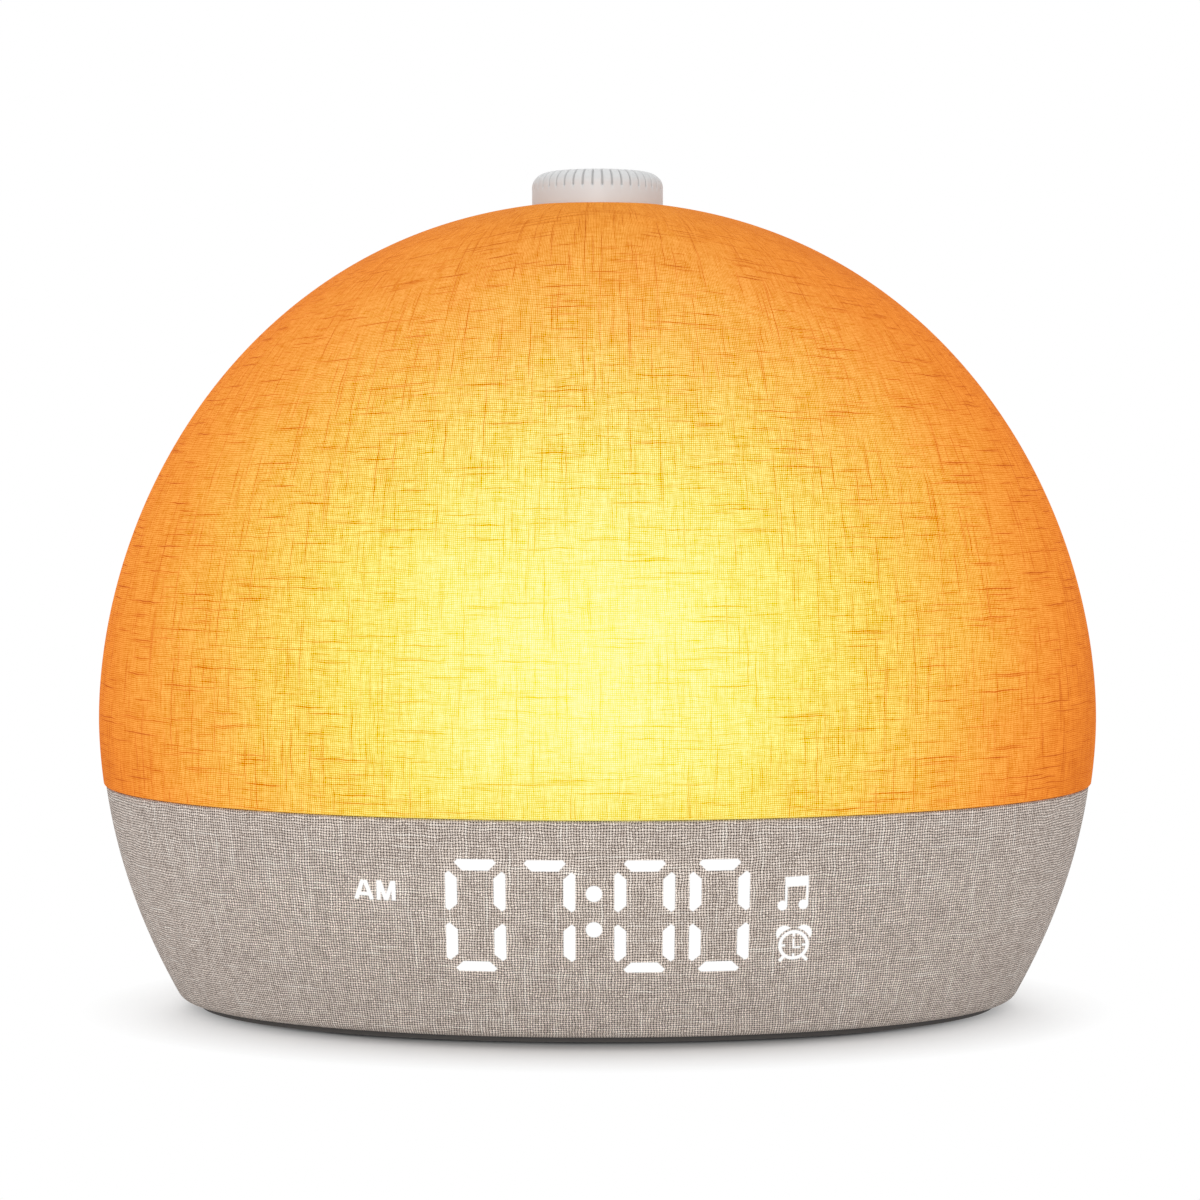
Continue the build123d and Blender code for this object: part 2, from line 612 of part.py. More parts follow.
reflector_floor_z = board_top_z + 0.05 + reflector_thick
with BuildPart() as light_board_screws:
    add(screws(Plane.XY.offset(reflector_floor_z), light_screw_places, reflector_floor_z - TRAY_Z - 0.3))
write(light_board_screws.part, "light_board_screws")

# ================================================================ base cover and shell
shell_low_z = HEM_Z + SHELL_INSET
base_high = SEAM_Z - SEAM_GAP / 2
window_reach = 30.0


def window(plane, size, corner, depth=window_reach):
    """A prism with rounded corners that runs through the base's wall, square to a plane on its face."""
    with BuildPart() as prism:
        with BuildSketch(plane.offset(-depth)):
            RectangleRounded(*size, corner)
        extrude(amount=2 * depth)
    return prism.part


def grown(size, margin):
    """Both sides of a rectangle, made larger by a margin all round."""
    return size[0] + 2 * margin, size[1] + 2 * margin


def base_layer(outer, inner, low, high):
    """The layer of the base's wall between two insets."""
    with BuildPart() as layer:
        add(base_body(outer, low, high))
        add(base_body(inner, low, high), mode=Mode.SUBTRACT)
    return layer.part


with BuildPart() as base_fabric:
    add(base_body(0, HEM_Z, base_high, BASE_EDGE))
    add(base_body(FABRIC, HEM_Z + FABRIC, base_high, BASE_EDGE - FABRIC), mode=Mode.SUBTRACT)
    add(ellipse_slab(inset_half(hem_half, COVER_REVEAL + HEM_OVERLAP), HEM_Z, shell_low_z), mode=Mode.SUBTRACT)
    add(window(back_plane, grown(PANEL_SIZE, PANEL_FIT), PANEL_CORNER), mode=Mode.SUBTRACT)
write(base_fabric.part, "base_fabric")

rear_screw_places = [(-43.0, 0), (43.0, 0)]

with BuildPart() as baffle:
    add(box_between((SPEAKER_X - BAFFLE, -DEPTH, flange_top_z - 1), (SPEAKER_X, DEPTH, TRAY_Z)))
    add(base_body(FUSE_INSET, shell_low_z, TRAY_Z), mode=Mode.INTERSECT)
    with BuildSketch(Plane(origin=(SPEAKER_X - BAFFLE, 0, SPEAKER_Z), z_dir=(1, 0, 0))):
        Circle(SURROUND_RADIUS)
    extrude(amount=BAFFLE, mode=Mode.SUBTRACT)

with BuildPart() as display_bosses:
    with BuildSketch(front_plane.offset(-DISPLAY_DEPTH)):
        with Locations(*DISPLAY_SCREWS):
            Circle(SCREW_RADIUS + 1.7)
    extrude(amount=window_reach)
    add(base_body(FUSE_INSET, shell_low_z, TRAY_Z), mode=Mode.INTERSECT)

with BuildPart() as rear_bosses:
    with BuildSketch(back_plane.offset(-REAR_BOARD_DEPTH)):
        with Locations(*rear_screw_places):
            Circle(SCREW_RADIUS + 1.7)
    extrude(amount=window_reach)
    add(base_body(FUSE_INSET, shell_low_z, TRAY_Z), mode=Mode.INTERSECT)

with BuildPart() as ledge:
    add(window(back_plane, grown(PANEL_SIZE, LEDGE), PANEL_CORNER + LEDGE))
    add(window(back_plane, grown(PANEL_SIZE, -LEDGE), PANEL_CORNER - LEDGE), mode=Mode.SUBTRACT)
    add(base_layer(PANEL_INSET + PANEL_THICK + GLUE, SHELL_INSIDE + LEDGE_THICK, 5.0, 44.0), mode=Mode.INTERSECT)
    add(half_space(1), mode=Mode.INTERSECT)

with BuildPart() as base_shell:
    add(base_body(SHELL_INSET, shell_low_z, TRAY_Z, BASE_EDGE - SHELL_INSET + 0.3))
    add(base_body(SHELL_INSIDE, flange_top_z, TRAY_Z), mode=Mode.SUBTRACT)
    add(ellipse_slab(opening_half, shell_low_z, flange_top_z), mode=Mode.SUBTRACT)
    add(window(front_plane, grown(DISPLAY_SIZE, CLEAR), 1.5, 20.0), mode=Mode.SUBTRACT)
    add(window(back_plane, grown(PANEL_SIZE, PANEL_FIT), PANEL_CORNER), mode=Mode.SUBTRACT)
    with BuildSketch(Plane.XY.offset(shell_low_z)):
        with Locations(*post_places):
            Circle(POST_RADIUS + 1.4)
    extrude(amount=FLANGE)
    with BuildSketch(Plane.XY.offset(shell_low_z)):
        with Locations(*lug_places):
            Circle(POST_RADIUS + 1.4)
    extrude(amount=LUG_HEIGHT)
    add(baffle.part)
    add(display_bosses.part)
    add(rear_bosses.part)
    add(ledge.part)
    with BuildSketch(Plane.XY.offset(shell_low_z)):
        with Locations(*post_places, *lug_places):
            Circle(SCREW_RADIUS + SCREW_FIT)
    extrude(amount=LUG_HEIGHT + 2.0, mode=Mode.SUBTRACT)
    with BuildSketch(front_plane.offset(-DISPLAY_DEPTH)):
        with Locations(*DISPLAY_SCREWS):
            Circle(SCREW_RADIUS + SCREW_FIT)
    extrude(amount=4.2, mode=Mode.SUBTRACT)
    with BuildSketch(back_plane.offset(-REAR_BOARD_DEPTH)):
        with Locations(*rear_screw_places):
            Circle(SCREW_RADIUS + SCREW_FIT)
    extrude(amount=4.4, mode=Mode.SUBTRACT)
    with BuildSketch(Plane(origin=(SPEAKER_X, 0, SPEAKER_Z), x_dir=(0, 1, 0), z_dir=(-1, 0, 0))):
        with PolarLocations(SPEAKER_SCREW_CIRCLE, 4, start_angle=45):
            Circle(SPEAKER_SCREW + SCREW_FIT)
    extrude(amount=BAFFLE, mode=Mode.SUBTRACT)
    with BuildSketch(Plane(origin=(SPEAKER_X - BAFFLE - 1, 0, SPEAKER_Z), x_dir=(0, 1, 0), z_dir=(-1, 0, 0))):
        with GridLocations(1, GRILLE_PITCH, 1, GRILLE_SLOTS):
            SlotOverall(*GRILLE_SLOT)
    extrude(amount=40, mode=Mode.SUBTRACT)
write(base_shell.part, "base_shell")

# ================================================================ display
def segment_outline(length, width, first_cut, second_cut):
    """A display segment with pointed ends: first_cut shortens its outer edge, second_cut its inner edge."""
    half, side = length / 2, width / 2
    return [
        (-half, 0), (-half + first_cut, side), (half - first_cut, side),
        (half, 0), (half - second_cut, -side), (-half + second_cut, -side),
    ]


def digit_segments(centre_x):
    """The seven segment outlines of one digit as (x, y, turn, outline)."""
    side = DIGIT_WIDTH / 2 - SEGMENT / 2
    end = DIGIT_HEIGHT / 2 - SEGMENT / 2
    cross = segment_outline(CROSS_LENGTH, SEGMENT, OUTER_CUT, INNER_CUT)
    middle = segment_outline(CROSS_LENGTH - 0.4, SEGMENT, INNER_CUT, INNER_CUT)
    upright = segment_outline(UPRIGHT_LENGTH, SEGMENT, OUTER_CUT, INNER_CUT)
    return [
        (centre_x, end, 0, cross), (centre_x, -end, 180, cross), (centre_x, 0, 0, middle),
        (centre_x - side, UPRIGHT_CENTRE, 90, upright), (centre_x + side, UPRIGHT_CENTRE, -90, upright),
        (centre_x - side, -UPRIGHT_CENTRE, 90, upright), (centre_x + side, -UPRIGHT_CENTRE, -90, upright),
    ]


all_segments = [segment for centre_x in DIGIT_CENTRES for segment in digit_segments(centre_x)]
colon_places = [(COLON_X, height) for height in COLON_HEIGHTS]


def segment_prisms(margin, low, high):
    """The prisms of all segments and of the colon, made larger by a margin, between two depths."""
    with BuildPart() as prisms:
        with BuildSketch(front_plane.offset(-high)):
            for x, y, turn, outline in all_segments:
                with Locations(Location((x, y, 0), (0, 0, turn))):
                    Polygon(*outline, align=None)
            if margin > 0:
                offset(amount=margin)
            with Locations(*colon_places):
                Circle(COLON_RADIUS + margin)
        extrude(amount=high - low)
    return prisms.part


def symbol_prisms(margin, low, high):
    """The prisms of the windows for the letters and the two signs, between two depths."""
    with BuildPart() as prisms:
        with BuildSketch(front_plane.offset(-high)):
            for x, y, width, height in SYMBOL_WINDOWS:
                with Locations((x, y)):
                    RectangleRounded(width + 2 * margin, height + 2 * margin, 0.6)
        extrude(amount=high - low)
    return prisms.part


housing_inset = FABRIC + GLUE
with BuildPart() as pipe_layer:
    add(base_layer(housing_inset, housing_inset + PIPE_DEPTH, 6.0, 44.0))
    add(half_space(-1), mode=Mode.INTERSECT)

with BuildPart() as display_segments:
    add(segment_prisms(0, -5.0, DISPLAY_DEPTH - 1))
    add(pipe_layer.part, mode=Mode.INTERSECT)
write(display_segments.part, "display_segments")

with BuildPart() as display_symbols:
    add(symbol_prisms(0, -5.0, DISPLAY_DEPTH - 1))
    add(pipe_layer.part, mode=Mode.INTERSECT)
write(display_symbols.part, "display_symbols")

with BuildPart() as display_housing:
    add(window(front_plane, DISPLAY_SIZE, 1.2, 20.0))
    add(base_body(housing_inset, 6.0, 44.0), mode=Mode.INTERSECT)
    with BuildSketch(front_plane.offset(-DISPLAY_DEPTH + 0.05)):
        RectangleRounded(*DISPLAY_SIZE, 1.2)
    extrude(amount=40, mode=Mode.INTERSECT)
    add(segment_prisms(PIPE_FIT, -5.0, DISPLAY_DEPTH), mode=Mode.SUBTRACT)
    add(symbol_prisms(PIPE_FIT, -5.0, DISPLAY_DEPTH), mode=Mode.SUBTRACT)
write(display_housing.part, "display_housing")

with BuildPart() as display_board:
    with BuildSketch(front_plane.offset(-DISPLAY_DEPTH - BOARD)):
        RectangleRounded(*DISPLAY_BOARD_SIZE, 1.5)
        with Locations(*DISPLAY_SCREWS):
            Circle(SCREW_RADIUS + SCREW_FIT, mode=Mode.SUBTRACT)
    extrude(amount=BOARD)
write(display_board.part, "display_board")

with BuildPart() as display_leds:
    with BuildSketch(front_plane.offset(-DISPLAY_DEPTH)):
        for x, y, turn, outline in all_segments:
            with Locations(Location((x, y, 0), (0, 0, turn))):
                Rectangle(*CHIP[:2])
        with Locations(*colon_places):
            Rectangle(*CHIP[:2])
        with Locations(*[window_place[:2] for window_place in SYMBOL_WINDOWS]):
            Rectangle(*CHIP[:2])
    extrude(amount=CHIP[2])
write(display_leds.part, "display_leds")

with BuildPart() as display_screws:
    back_face = front_plane.offset(-DISPLAY_DEPTH - BOARD)
    facing_in = Plane(origin=back_face.origin, x_dir=(-1, 0, 0), z_dir=-front_plane.z_dir)
    add(screws(facing_in, DISPLAY_SCREWS, BOARD + 3.9))
write(display_screws.part, "display_screws")

# ================================================================ rear panel and buttons
def face_height(u, v=0.0, inset=0.0):
    """Height over the rear plane of the layer at an inset, at a point given in that plane's own directions."""
    low, high = -25.0, 3.0
    for _ in range(40):
        middle = (low + high) / 2
        point = back_plane.from_local_coords((u, v, middle))
        half_width, half_depth = base_section(point.Z, inset)
        inside = (point.X / half_width) ** 2 + (point.Y / half_depth) ** 2 < 1
        low, high = (middle, high) if inside else (low, middle)
    return low


button_us = [BUTTON_FIRST_X + BUTTON_PITCH * number for number in range(len(BUTTON_NAMES))]
socket_width = USB_SIZE[0] + 2 * USB_WALL
socket_height = USB_SIZE[1] + 2 * USB_WALL

with BuildPart() as rear_panel:
    add(window(back_plane, PANEL_SIZE, PANEL_CORNER))
    add(base_layer(PANEL_INSET, PANEL_INSET + PANEL_THICK, 5.0, 44.0), mode=Mode.INTERSECT)
    add(half_space(1), mode=Mode.INTERSECT)
    with BuildSketch(back_plane.offset(-window_reach)):
        with Locations(*[(u, 0) for u in button_us]):
            Circle(BUTTON_RADIUS + BUTTON_FIT)
        with Locations((USB_X, 0)):
            SlotOverall(*PLUG_OPENING)
    extrude(amount=2 * window_reach, mode=Mode.SUBTRACT)
write(rear_panel.part, "rear_panel")

switch_top = -REAR_BOARD_DEPTH + SWITCH_HEIGHT
plunger_top = switch_top + SWITCH_PLUNGER_PROUD
lip_radius = BUTTON_RADIUS + BUTTON_LIP
for name, u in zip(BUTTON_NAMES, button_us):
    face = face_height(u, 0, PANEL_INSET)
    around = [
        face_height(u + du, dv, PANEL_INSET + PANEL_THICK) for du in (-lip_radius, lip_radius) for dv in (-1, 1)
    ]
    lip_top = min(around) - CLEAR
    with BuildPart() as button:
        with BuildSketch(back_plane.offset(lip_top)):
            with Locations((u, 0)):
                Circle(BUTTON_RADIUS)
        extrude(amount=face + BUTTON_PROUD - lip_top)
        fillet(button.edges().sort_by(Axis((0, 0, 0), back_normal))[-1], 0.5)
        with BuildSketch(back_plane.offset(lip_top - BUTTON_LIP_THICK)):
            with Locations((u, 0)):
                Circle(lip_radius)
        extrude(amount=BUTTON_LIP_THICK)
        with BuildSketch(back_plane.offset(plunger_top + 0.05)):
            with Locations((u, 0)):
                Circle(STEM_RADIUS)
        extrude(amount=lip_top - plunger_top - 0.05)
    write(button.part, f"button_{name}")
    with BuildPart() as plunger:
        with BuildSketch(back_plane.offset(switch_top - 1.2)):
            with Locations((u, 0)):
                Circle(SWITCH_PLUNGER_RADIUS)
        extrude(amount=SWITCH_PLUNGER_PROUD + 1.2)
    write(plunger.part, f"plunger_{name}")

with BuildPart() as switch_bodies:
    with BuildSketch(back_plane.offset(-REAR_BOARD_DEPTH)):
        with Locations(*[(u, 0) for u in button_us]):
            RectangleRounded(SWITCH_SIDE, SWITCH_SIDE, 0.4)
    extrude(amount=SWITCH_HEIGHT)
    with BuildSketch(back_plane.offset(switch_top)):
        with Locations(*[(u, 0) for u in button_us]):
            Circle(SWITCH_PLUNGER_RADIUS + SHAFT_FIT)
    extrude(amount=-1.2 - BUTTON_TRAVEL - 0.2, mode=Mode.SUBTRACT)
write(switch_bodies.part, "switch_bodies")

with BuildPart() as button_board:
    with BuildSketch(back_plane.offset(-REAR_BOARD_DEPTH - BOARD)):
        RectangleRounded(*REAR_BOARD_SIZE, 1.5)
        with Locations(*rear_screw_places):
            Circle(SCREW_RADIUS + SCREW_FIT, mode=Mode.SUBTRACT)
    extrude(amount=BOARD)
write(button_board.part, "button_board")

with BuildPart() as button_board_screws:
    rear_back = back_plane.offset(-REAR_BOARD_DEPTH - BOARD)
    rear_facing_in = Plane(origin=rear_back.origin, x_dir=(1, 0, 0), z_dir=-back_plane.z_dir)
    add(screws(rear_facing_in, rear_screw_places, BOARD + 4.1))
write(button_board_screws.part, "button_board_screws")

with BuildPart() as usb_socket:
    with BuildSketch(back_plane.offset(-REAR_BOARD_DEPTH)):
        with Locations((USB_X, 0)):
            SlotOverall(socket_width, socket_height)
    extrude(amount=USB_LENGTH)
    with BuildSketch(back_plane.offset(-REAR_BOARD_DEPTH + 0.8)):
        with Locations((USB_X, 0)):
            SlotOverall(*USB_SIZE)
    extrude(amount=USB_LENGTH, mode=Mode.SUBTRACT)
write(usb_socket.part, "usb_socket")

with BuildPart() as usb_tongue:
    with BuildSketch(back_plane.offset(-REAR_BOARD_DEPTH + 0.85)):
        with Locations((USB_X, 0)):
            Rectangle(*USB_TONGUE[:2])
    extrude(amount=USB_TONGUE[2])
    chamfer(usb_tongue.edges().group_by(Axis((0, 0, 0), back_normal))[-1], 0.15)
write(usb_tongue.part, "usb_tongue")

# ================================================================ speaker
speaker_plane = Plane(origin=(SPEAKER_X, 0, SPEAKER_Z), x_dir=(1, 0, 0), z_dir=(0, -1, 0))
speaker_axis = Axis((SPEAKER_X, 0, SPEAKER_Z), (1, 0, 0))
speaker_face = Plane(origin=(SPEAKER_X, 0, SPEAKER_Z), x_dir=(0, 1, 0), z_dir=(1, 0, 0))
flange_low = SPEAKER_GASKET
flange_high = SPEAKER_GASKET + SPEAKER_FLANGE
basket_end = SPEAKER_GASKET + BASKET_DEPTH
former_radius = 5.0

with BuildPart() as speaker_gasket:
    with BuildSketch(speaker_face):
        Circle(SPEAKER_RADIUS)
        Circle(SURROUND_RADIUS + 0.1, mode=Mode.SUBTRACT)
        with PolarLocations(SPEAKER_SCREW_CIRCLE, 4, start_angle=45):
            Circle(SPEAKER_SCREW + SCREW_FIT, mode=Mode.SUBTRACT)
    extrude(amount=SPEAKER_GASKET)
write(speaker_gasket.part, "speaker_gasket")

with BuildPart() as speaker_frame:
    with BuildSketch(speaker_plane):
        with BuildLine():
            Polyline(
                (flange_low, SURROUND_RADIUS + 0.1), (flange_low, SPEAKER_RADIUS),
                (flange_high, SPEAKER_RADIUS), (flange_high, SURROUND_RADIUS + 0.9),
                (basket_end, MAGNET_RADIUS + 2), (basket_end, former_radius + 1),
                (basket_end - 1, former_radius + 1), (basket_end - 1, MAGNET_RADIUS + 1.4),
                (flange_high, SURROUND_RADIUS + 0.1), close=True,
            )
        make_face()
    revolve(axis=speaker_axis)
    with BuildSketch(speaker_face):
        with PolarLocations(SPEAKER_SCREW_CIRCLE, 4, start_angle=45):
            Circle(SPEAKER_SCREW + SCREW_FIT)
    extrude(amount=flange_high + 1, mode=Mode.SUBTRACT)
    add(box_between((SPEAKER_X + 4.6, 13.9, SPEAKER_Z - 1.5), (SPEAKER_X + 7.6, 16.4, SPEAKER_Z + 1.5)))
write(speaker_frame.part, "speaker_frame")

with BuildPart() as speaker_magnet:
    with BuildSketch(speaker_face.offset(basket_end)):
        Circle(MAGNET_RADIUS)
    extrude(amount=MAGNET_DEPTH)
    chamfer(speaker_magnet.edges().group_by(Axis.X)[-1], 0.6)
    with BuildSketch(speaker_face.offset(basket_end)):
        Circle(former_radius - 1)
    extrude(amount=-3.0)
write(speaker_magnet.part, "speaker_magnet")

with BuildPart() as speaker_cone:
    with BuildSketch(speaker_plane):
        with BuildLine():
            Polyline(
                (1.0, SURROUND_RADIUS), (0.5, 14.3), (0.5, 13.4), (1.0, CONE_RADIUS), (5.2, 5.2), (4.2, 3.5),
                (3.8, 0), (4.3, 0), (4.7, 3.3), (5.8, former_radius - 0.4), (8.4, former_radius - 0.4),
                (8.4, former_radius), (6.0, former_radius), (1.5, 12.9), (1.0, 13.5), (1.0, 14.2),
                (1.5, SURROUND_RADIUS), close=True,
            )
        make_face()
    revolve(axis=speaker_axis)
write(speaker_cone.part, "speaker_cone")

with BuildPart() as speaker_screws:
    speaker_places = [
        (SPEAKER_SCREW_CIRCLE * cos(radians(angle)), SPEAKER_SCREW_CIRCLE * sin(radians(angle)))
        for angle in (45, 135, 225, 315)
    ]
    add(screws(speaker_face.offset(flange_high), speaker_places, flange_high + 1.7,
               SPEAKER_SCREW_HEAD, 0.9, SPEAKER_SCREW))
write(speaker_screws.part, "speaker_screws")

# ================================================================ main board
main_top_z = MAIN_BOARD_Z + BOARD
connector_height = 3.0
board_end = MAIN_BOARD_SIZE[0] / 2
board_screw_rise = MAIN_BOARD_SIZE[1] / 2 - 3.5
board_screw_places = [
    (x, MAIN_BOARD_Y + y) for x in (4.0 - board_end, board_end - 4.0) for y in (-board_screw_rise, board_screw_rise)
]
cell_place = (19.0 - board_end, -4.0)
cell_radius = 10.0
cell_height = 3.2
holder_wall = 1.0
display_plug = (4.0, -14.5)
rear_plug = (12.0, 10.0)
light_plug = light_lead_place
encoder_plug = (0.0, 0.0)
speaker_plug = (3.5 - board_end, 1.0)
display_socket_v = -8.5
rear_socket_v = -5.5
ribbon_width = 8.0
ribbon_thick = 0.35

with BuildPart() as main_board:
    with BuildSketch(Plane.XY.offset(MAIN_BOARD_Z)):
        with Locations((0, MAIN_BOARD_Y)):
            RectangleRounded(*MAIN_BOARD_SIZE, 2)
        with Locations(*board_screw_places):
            Circle(SCREW_RADIUS + SCREW_FIT, mode=Mode.SUBTRACT)
    extrude(amount=BOARD)
write(main_board.part, "main_board")

with BuildPart() as main_board_parts:
    for from_end, y, length, width, height in (
        (31, -2.5, 7, 7, 1.0), (19, -9, 5, 6, 1.6), (9, -6, 6, 6, 3.0), (23, 1, 3, 3, 0.9),
        (16, 10, 5, 4, 1.8), (44, 10, 5, 4, 1.4), (30, -12, 3, 1.5, 0.8), (9, -13, 3, 1.5, 0.8),
    ):
        x = board_end - from_end
        add(box_between(
            (x - length / 2, y - width / 2, main_top_z), (x + length / 2, y + width / 2, main_top_z + height),
        ))
write(main_board_parts.part, "main_board_parts")

display_back = front_plane.offset(-DISPLAY_DEPTH - BOARD)
rear_back_plane = back_plane.offset(-REAR_BOARD_DEPTH - BOARD)
with BuildPart() as board_connectors:
    for (x, y), (length, width) in (
        (display_plug, (ribbon_width + 2, 3.0)), (rear_plug, (ribbon_width + 2, 3.0)), (light_plug, (5, 4)),
        (encoder_plug, (5, 4)), (speaker_plug, (4, 5)),
    ):
        add(box_between(
            (x - length / 2, y - width / 2, main_top_z),
            (x + length / 2, y + width / 2, main_top_z + connector_height),
        ))
    with BuildSketch(display_back):
        with Locations((display_plug[0], display_socket_v)):
            Rectangle(ribbon_width + 2, 3)
    extrude(amount=-2.0)
    with BuildSketch(rear_back_plane):
        with Locations((-rear_plug[0], rear_socket_v)):
            Rectangle(ribbon_width + 2, 3)
    extrude(amount=-2.0)
write(board_connectors.part, "board_connectors")


def ribbon(x, start, start_direction, end, name):
    """A flat cable that leaves a board's socket squarely, bends and drops onto the main board's socket."""
    out = (start[0] + 5 * start_direction[0], start[1] + 5 * start_direction[1])
    over = (end[0], max(out[1], end[1] + 6))
    with BuildPart() as flat:
        with BuildSketch(Plane.YZ.offset(x - ribbon_width / 2)):
            with BuildLine():
                FilletPolyline(start, out, over, end, radius=1.8)
            trace(line_width=ribbon_thick)
        extrude(amount=ribbon_width)
    write(flat.part, name)


display_start = display_back.from_local_coords((display_plug[0], display_socket_v, -2.05))
rear_start = rear_back_plane.from_local_coords((-rear_plug[0], rear_socket_v, -2.05))
plug_top_z = main_top_z + connector_height + 0.05
ribbon(display_plug[0], (display_start.Y, display_start.Z), (-front_normal[1], -front_normal[2]),
       (display_plug[1], plug_top_z), "display_ribbon")
ribbon(rear_plug[0], (rear_start.Y, rear_start.Z), (-back_normal[1], -back_normal[2]),
       (rear_plug[1], plug_top_z), "button_ribbon")

write(lead([
    (0, 0, encoder_low_z - BOARD - 0.05), (0, 0, 130), (7, 4, 112), (7, 4, 78), (0, 0, 60), (0, 0, plug_top_z),
], 6.0), "encoder_lead")
write(lead([
    (light_plug[0], light_plug[1], light_board_z - 0.95), (light_plug[0], light_plug[1], 38),
    (light_plug[0] + 5, light_plug[1], 30), (light_plug[0], light_plug[1], 22),
    (light_plug[0], light_plug[1], plug_top_z),
], 3.0), "light_lead")
write(lead([
    (SPEAKER_X + 7.65, 15.0, SPEAKER_Z), (SPEAKER_X + 18, 15.0, SPEAKER_Z), (SPEAKER_X + 28, 4.0, 22),
    (speaker_plug[0], speaker_plug[1], 20), (speaker_plug[0], speaker_plug[1], plug_top_z),
], 2.5), "speaker_lead")

with BuildPart() as cell_holder:
    with BuildSketch(Plane.XY.offset(main_top_z)):
        with Locations(cell_place):
            Circle(cell_radius + holder_wall + 0.1)
    extrude(amount=cell_height + 0.6)
    with BuildSketch(Plane.XY.offset(main_top_z + 0.6)):
        with Locations(cell_place):
            Circle(cell_radius + 0.1)
    extrude(amount=cell_height, mode=Mode.SUBTRACT)
    add(box_between(
        (cell_place[0] - 30, cell_place[1] + 5, main_top_z + 1.6), (cell_place[0] + 30, cell_place[1] + 30, 30),
    ), mode=Mode.SUBTRACT)
write(cell_holder.part, "cell_holder")

with BuildPart() as backup_cell:
    with BuildSketch(Plane.XY.offset(main_top_z + 0.65)):
        with Locations(cell_place):
            Circle(cell_radius)
    extrude(amount=cell_height - 0.1)
    fillet(backup_cell.edges().group_by(Axis.Z)[-1], 0.3)
write(backup_cell.part, "backup_cell")

with BuildPart() as main_board_screws:
    add(screws(Plane.XY.offset(main_top_z), board_screw_places, BOARD + 4.6))
write(main_board_screws.part, "main_board_screws")

# ================================================================ bottom cover and foot
foot_half = inset_half(hem_half, FOOT_INSET)
bottom_places = [*post_places, *lug_places]

with BuildPart() as bottom_cover:
    add(ellipse_slab(inset_half(hem_half, COVER_REVEAL), COVER_Z, COVER_RIM_TOP_Z))
    add(ellipse_slab(inset_half(hem_half, COVER_REVEAL + HEM_OVERLAP + 0.2), COVER_Z, COVER_TOP_Z))
    with BuildSketch(Plane.XY.offset(COVER_TOP_Z)):
        with Locations(*board_screw_places):
            Circle(3.2)
    extrude(amount=MAIN_BOARD_Z - COVER_TOP_Z)
    add(ellipse_slab(inset_half(foot_half, -0.1), COVER_Z, FOOT_HEIGHT), mode=Mode.SUBTRACT)
    add(ellipse_slab(inset_half(foot_half, FOOT_WIDTH + 0.1), COVER_Z, FOOT_HEIGHT))
    with BuildSketch(Plane.XY.offset(COVER_Z)):
        with Locations(*bottom_places):
            Circle(SCREW_HEAD_RADIUS + 0.2)
    extrude(amount=BOTTOM_SCREW_HEAD + 0.05, mode=Mode.SUBTRACT)
    with BuildSketch(Plane.XY.offset(COVER_Z)):
        with Locations(*bottom_places):
            Circle(SCREW_RADIUS + SCREW_FIT)
    extrude(amount=COVER_TOP_Z - COVER_Z, mode=Mode.SUBTRACT)
    with BuildSketch(Plane.XY.offset(COVER_TOP_Z + 0.5)):
        with Locations(*board_screw_places):
            Circle(SCREW_RADIUS + SCREW_FIT)
    extrude(amount=MAIN_BOARD_Z, mode=Mode.SUBTRACT)
write(bottom_cover.part, "bottom_cover")

with BuildPart() as bottom_screws:
    head_seat = Plane(origin=(0, 0, COVER_Z + BOTTOM_SCREW_HEAD + 0.05), x_dir=(1, 0, 0), z_dir=(0, 0, -1))
    add(screws(head_seat, bottom_places, BOTTOM_SCREW - 1.0, SCREW_HEAD_RADIUS, BOTTOM_SCREW_HEAD))
write(bottom_screws.part, "bottom_screws")

with BuildPart() as foot_ring:
    add(ellipse_slab(foot_half, 0, FOOT_HEIGHT - 0.05))
    add(ellipse_slab(inset_half(foot_half, FOOT_WIDTH), 0, FOOT_HEIGHT - 0.05), mode=Mode.SUBTRACT)
write(foot_ring.part, "foot_ring")
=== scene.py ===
"""Looks of a sunrise alarm clock: light dome, linen base, lit display, ribbed knob and rear controls.

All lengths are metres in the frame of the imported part: +X across the clock, -Y towards the display, +Z up.
"""

import json
import logging
import math
from dataclasses import dataclass, field
from enum import Enum
from typing import Callable, ClassVar, Iterable, Mapping, Sequence

import bpy
import numpy as np
from mathutils import Matrix, Vector

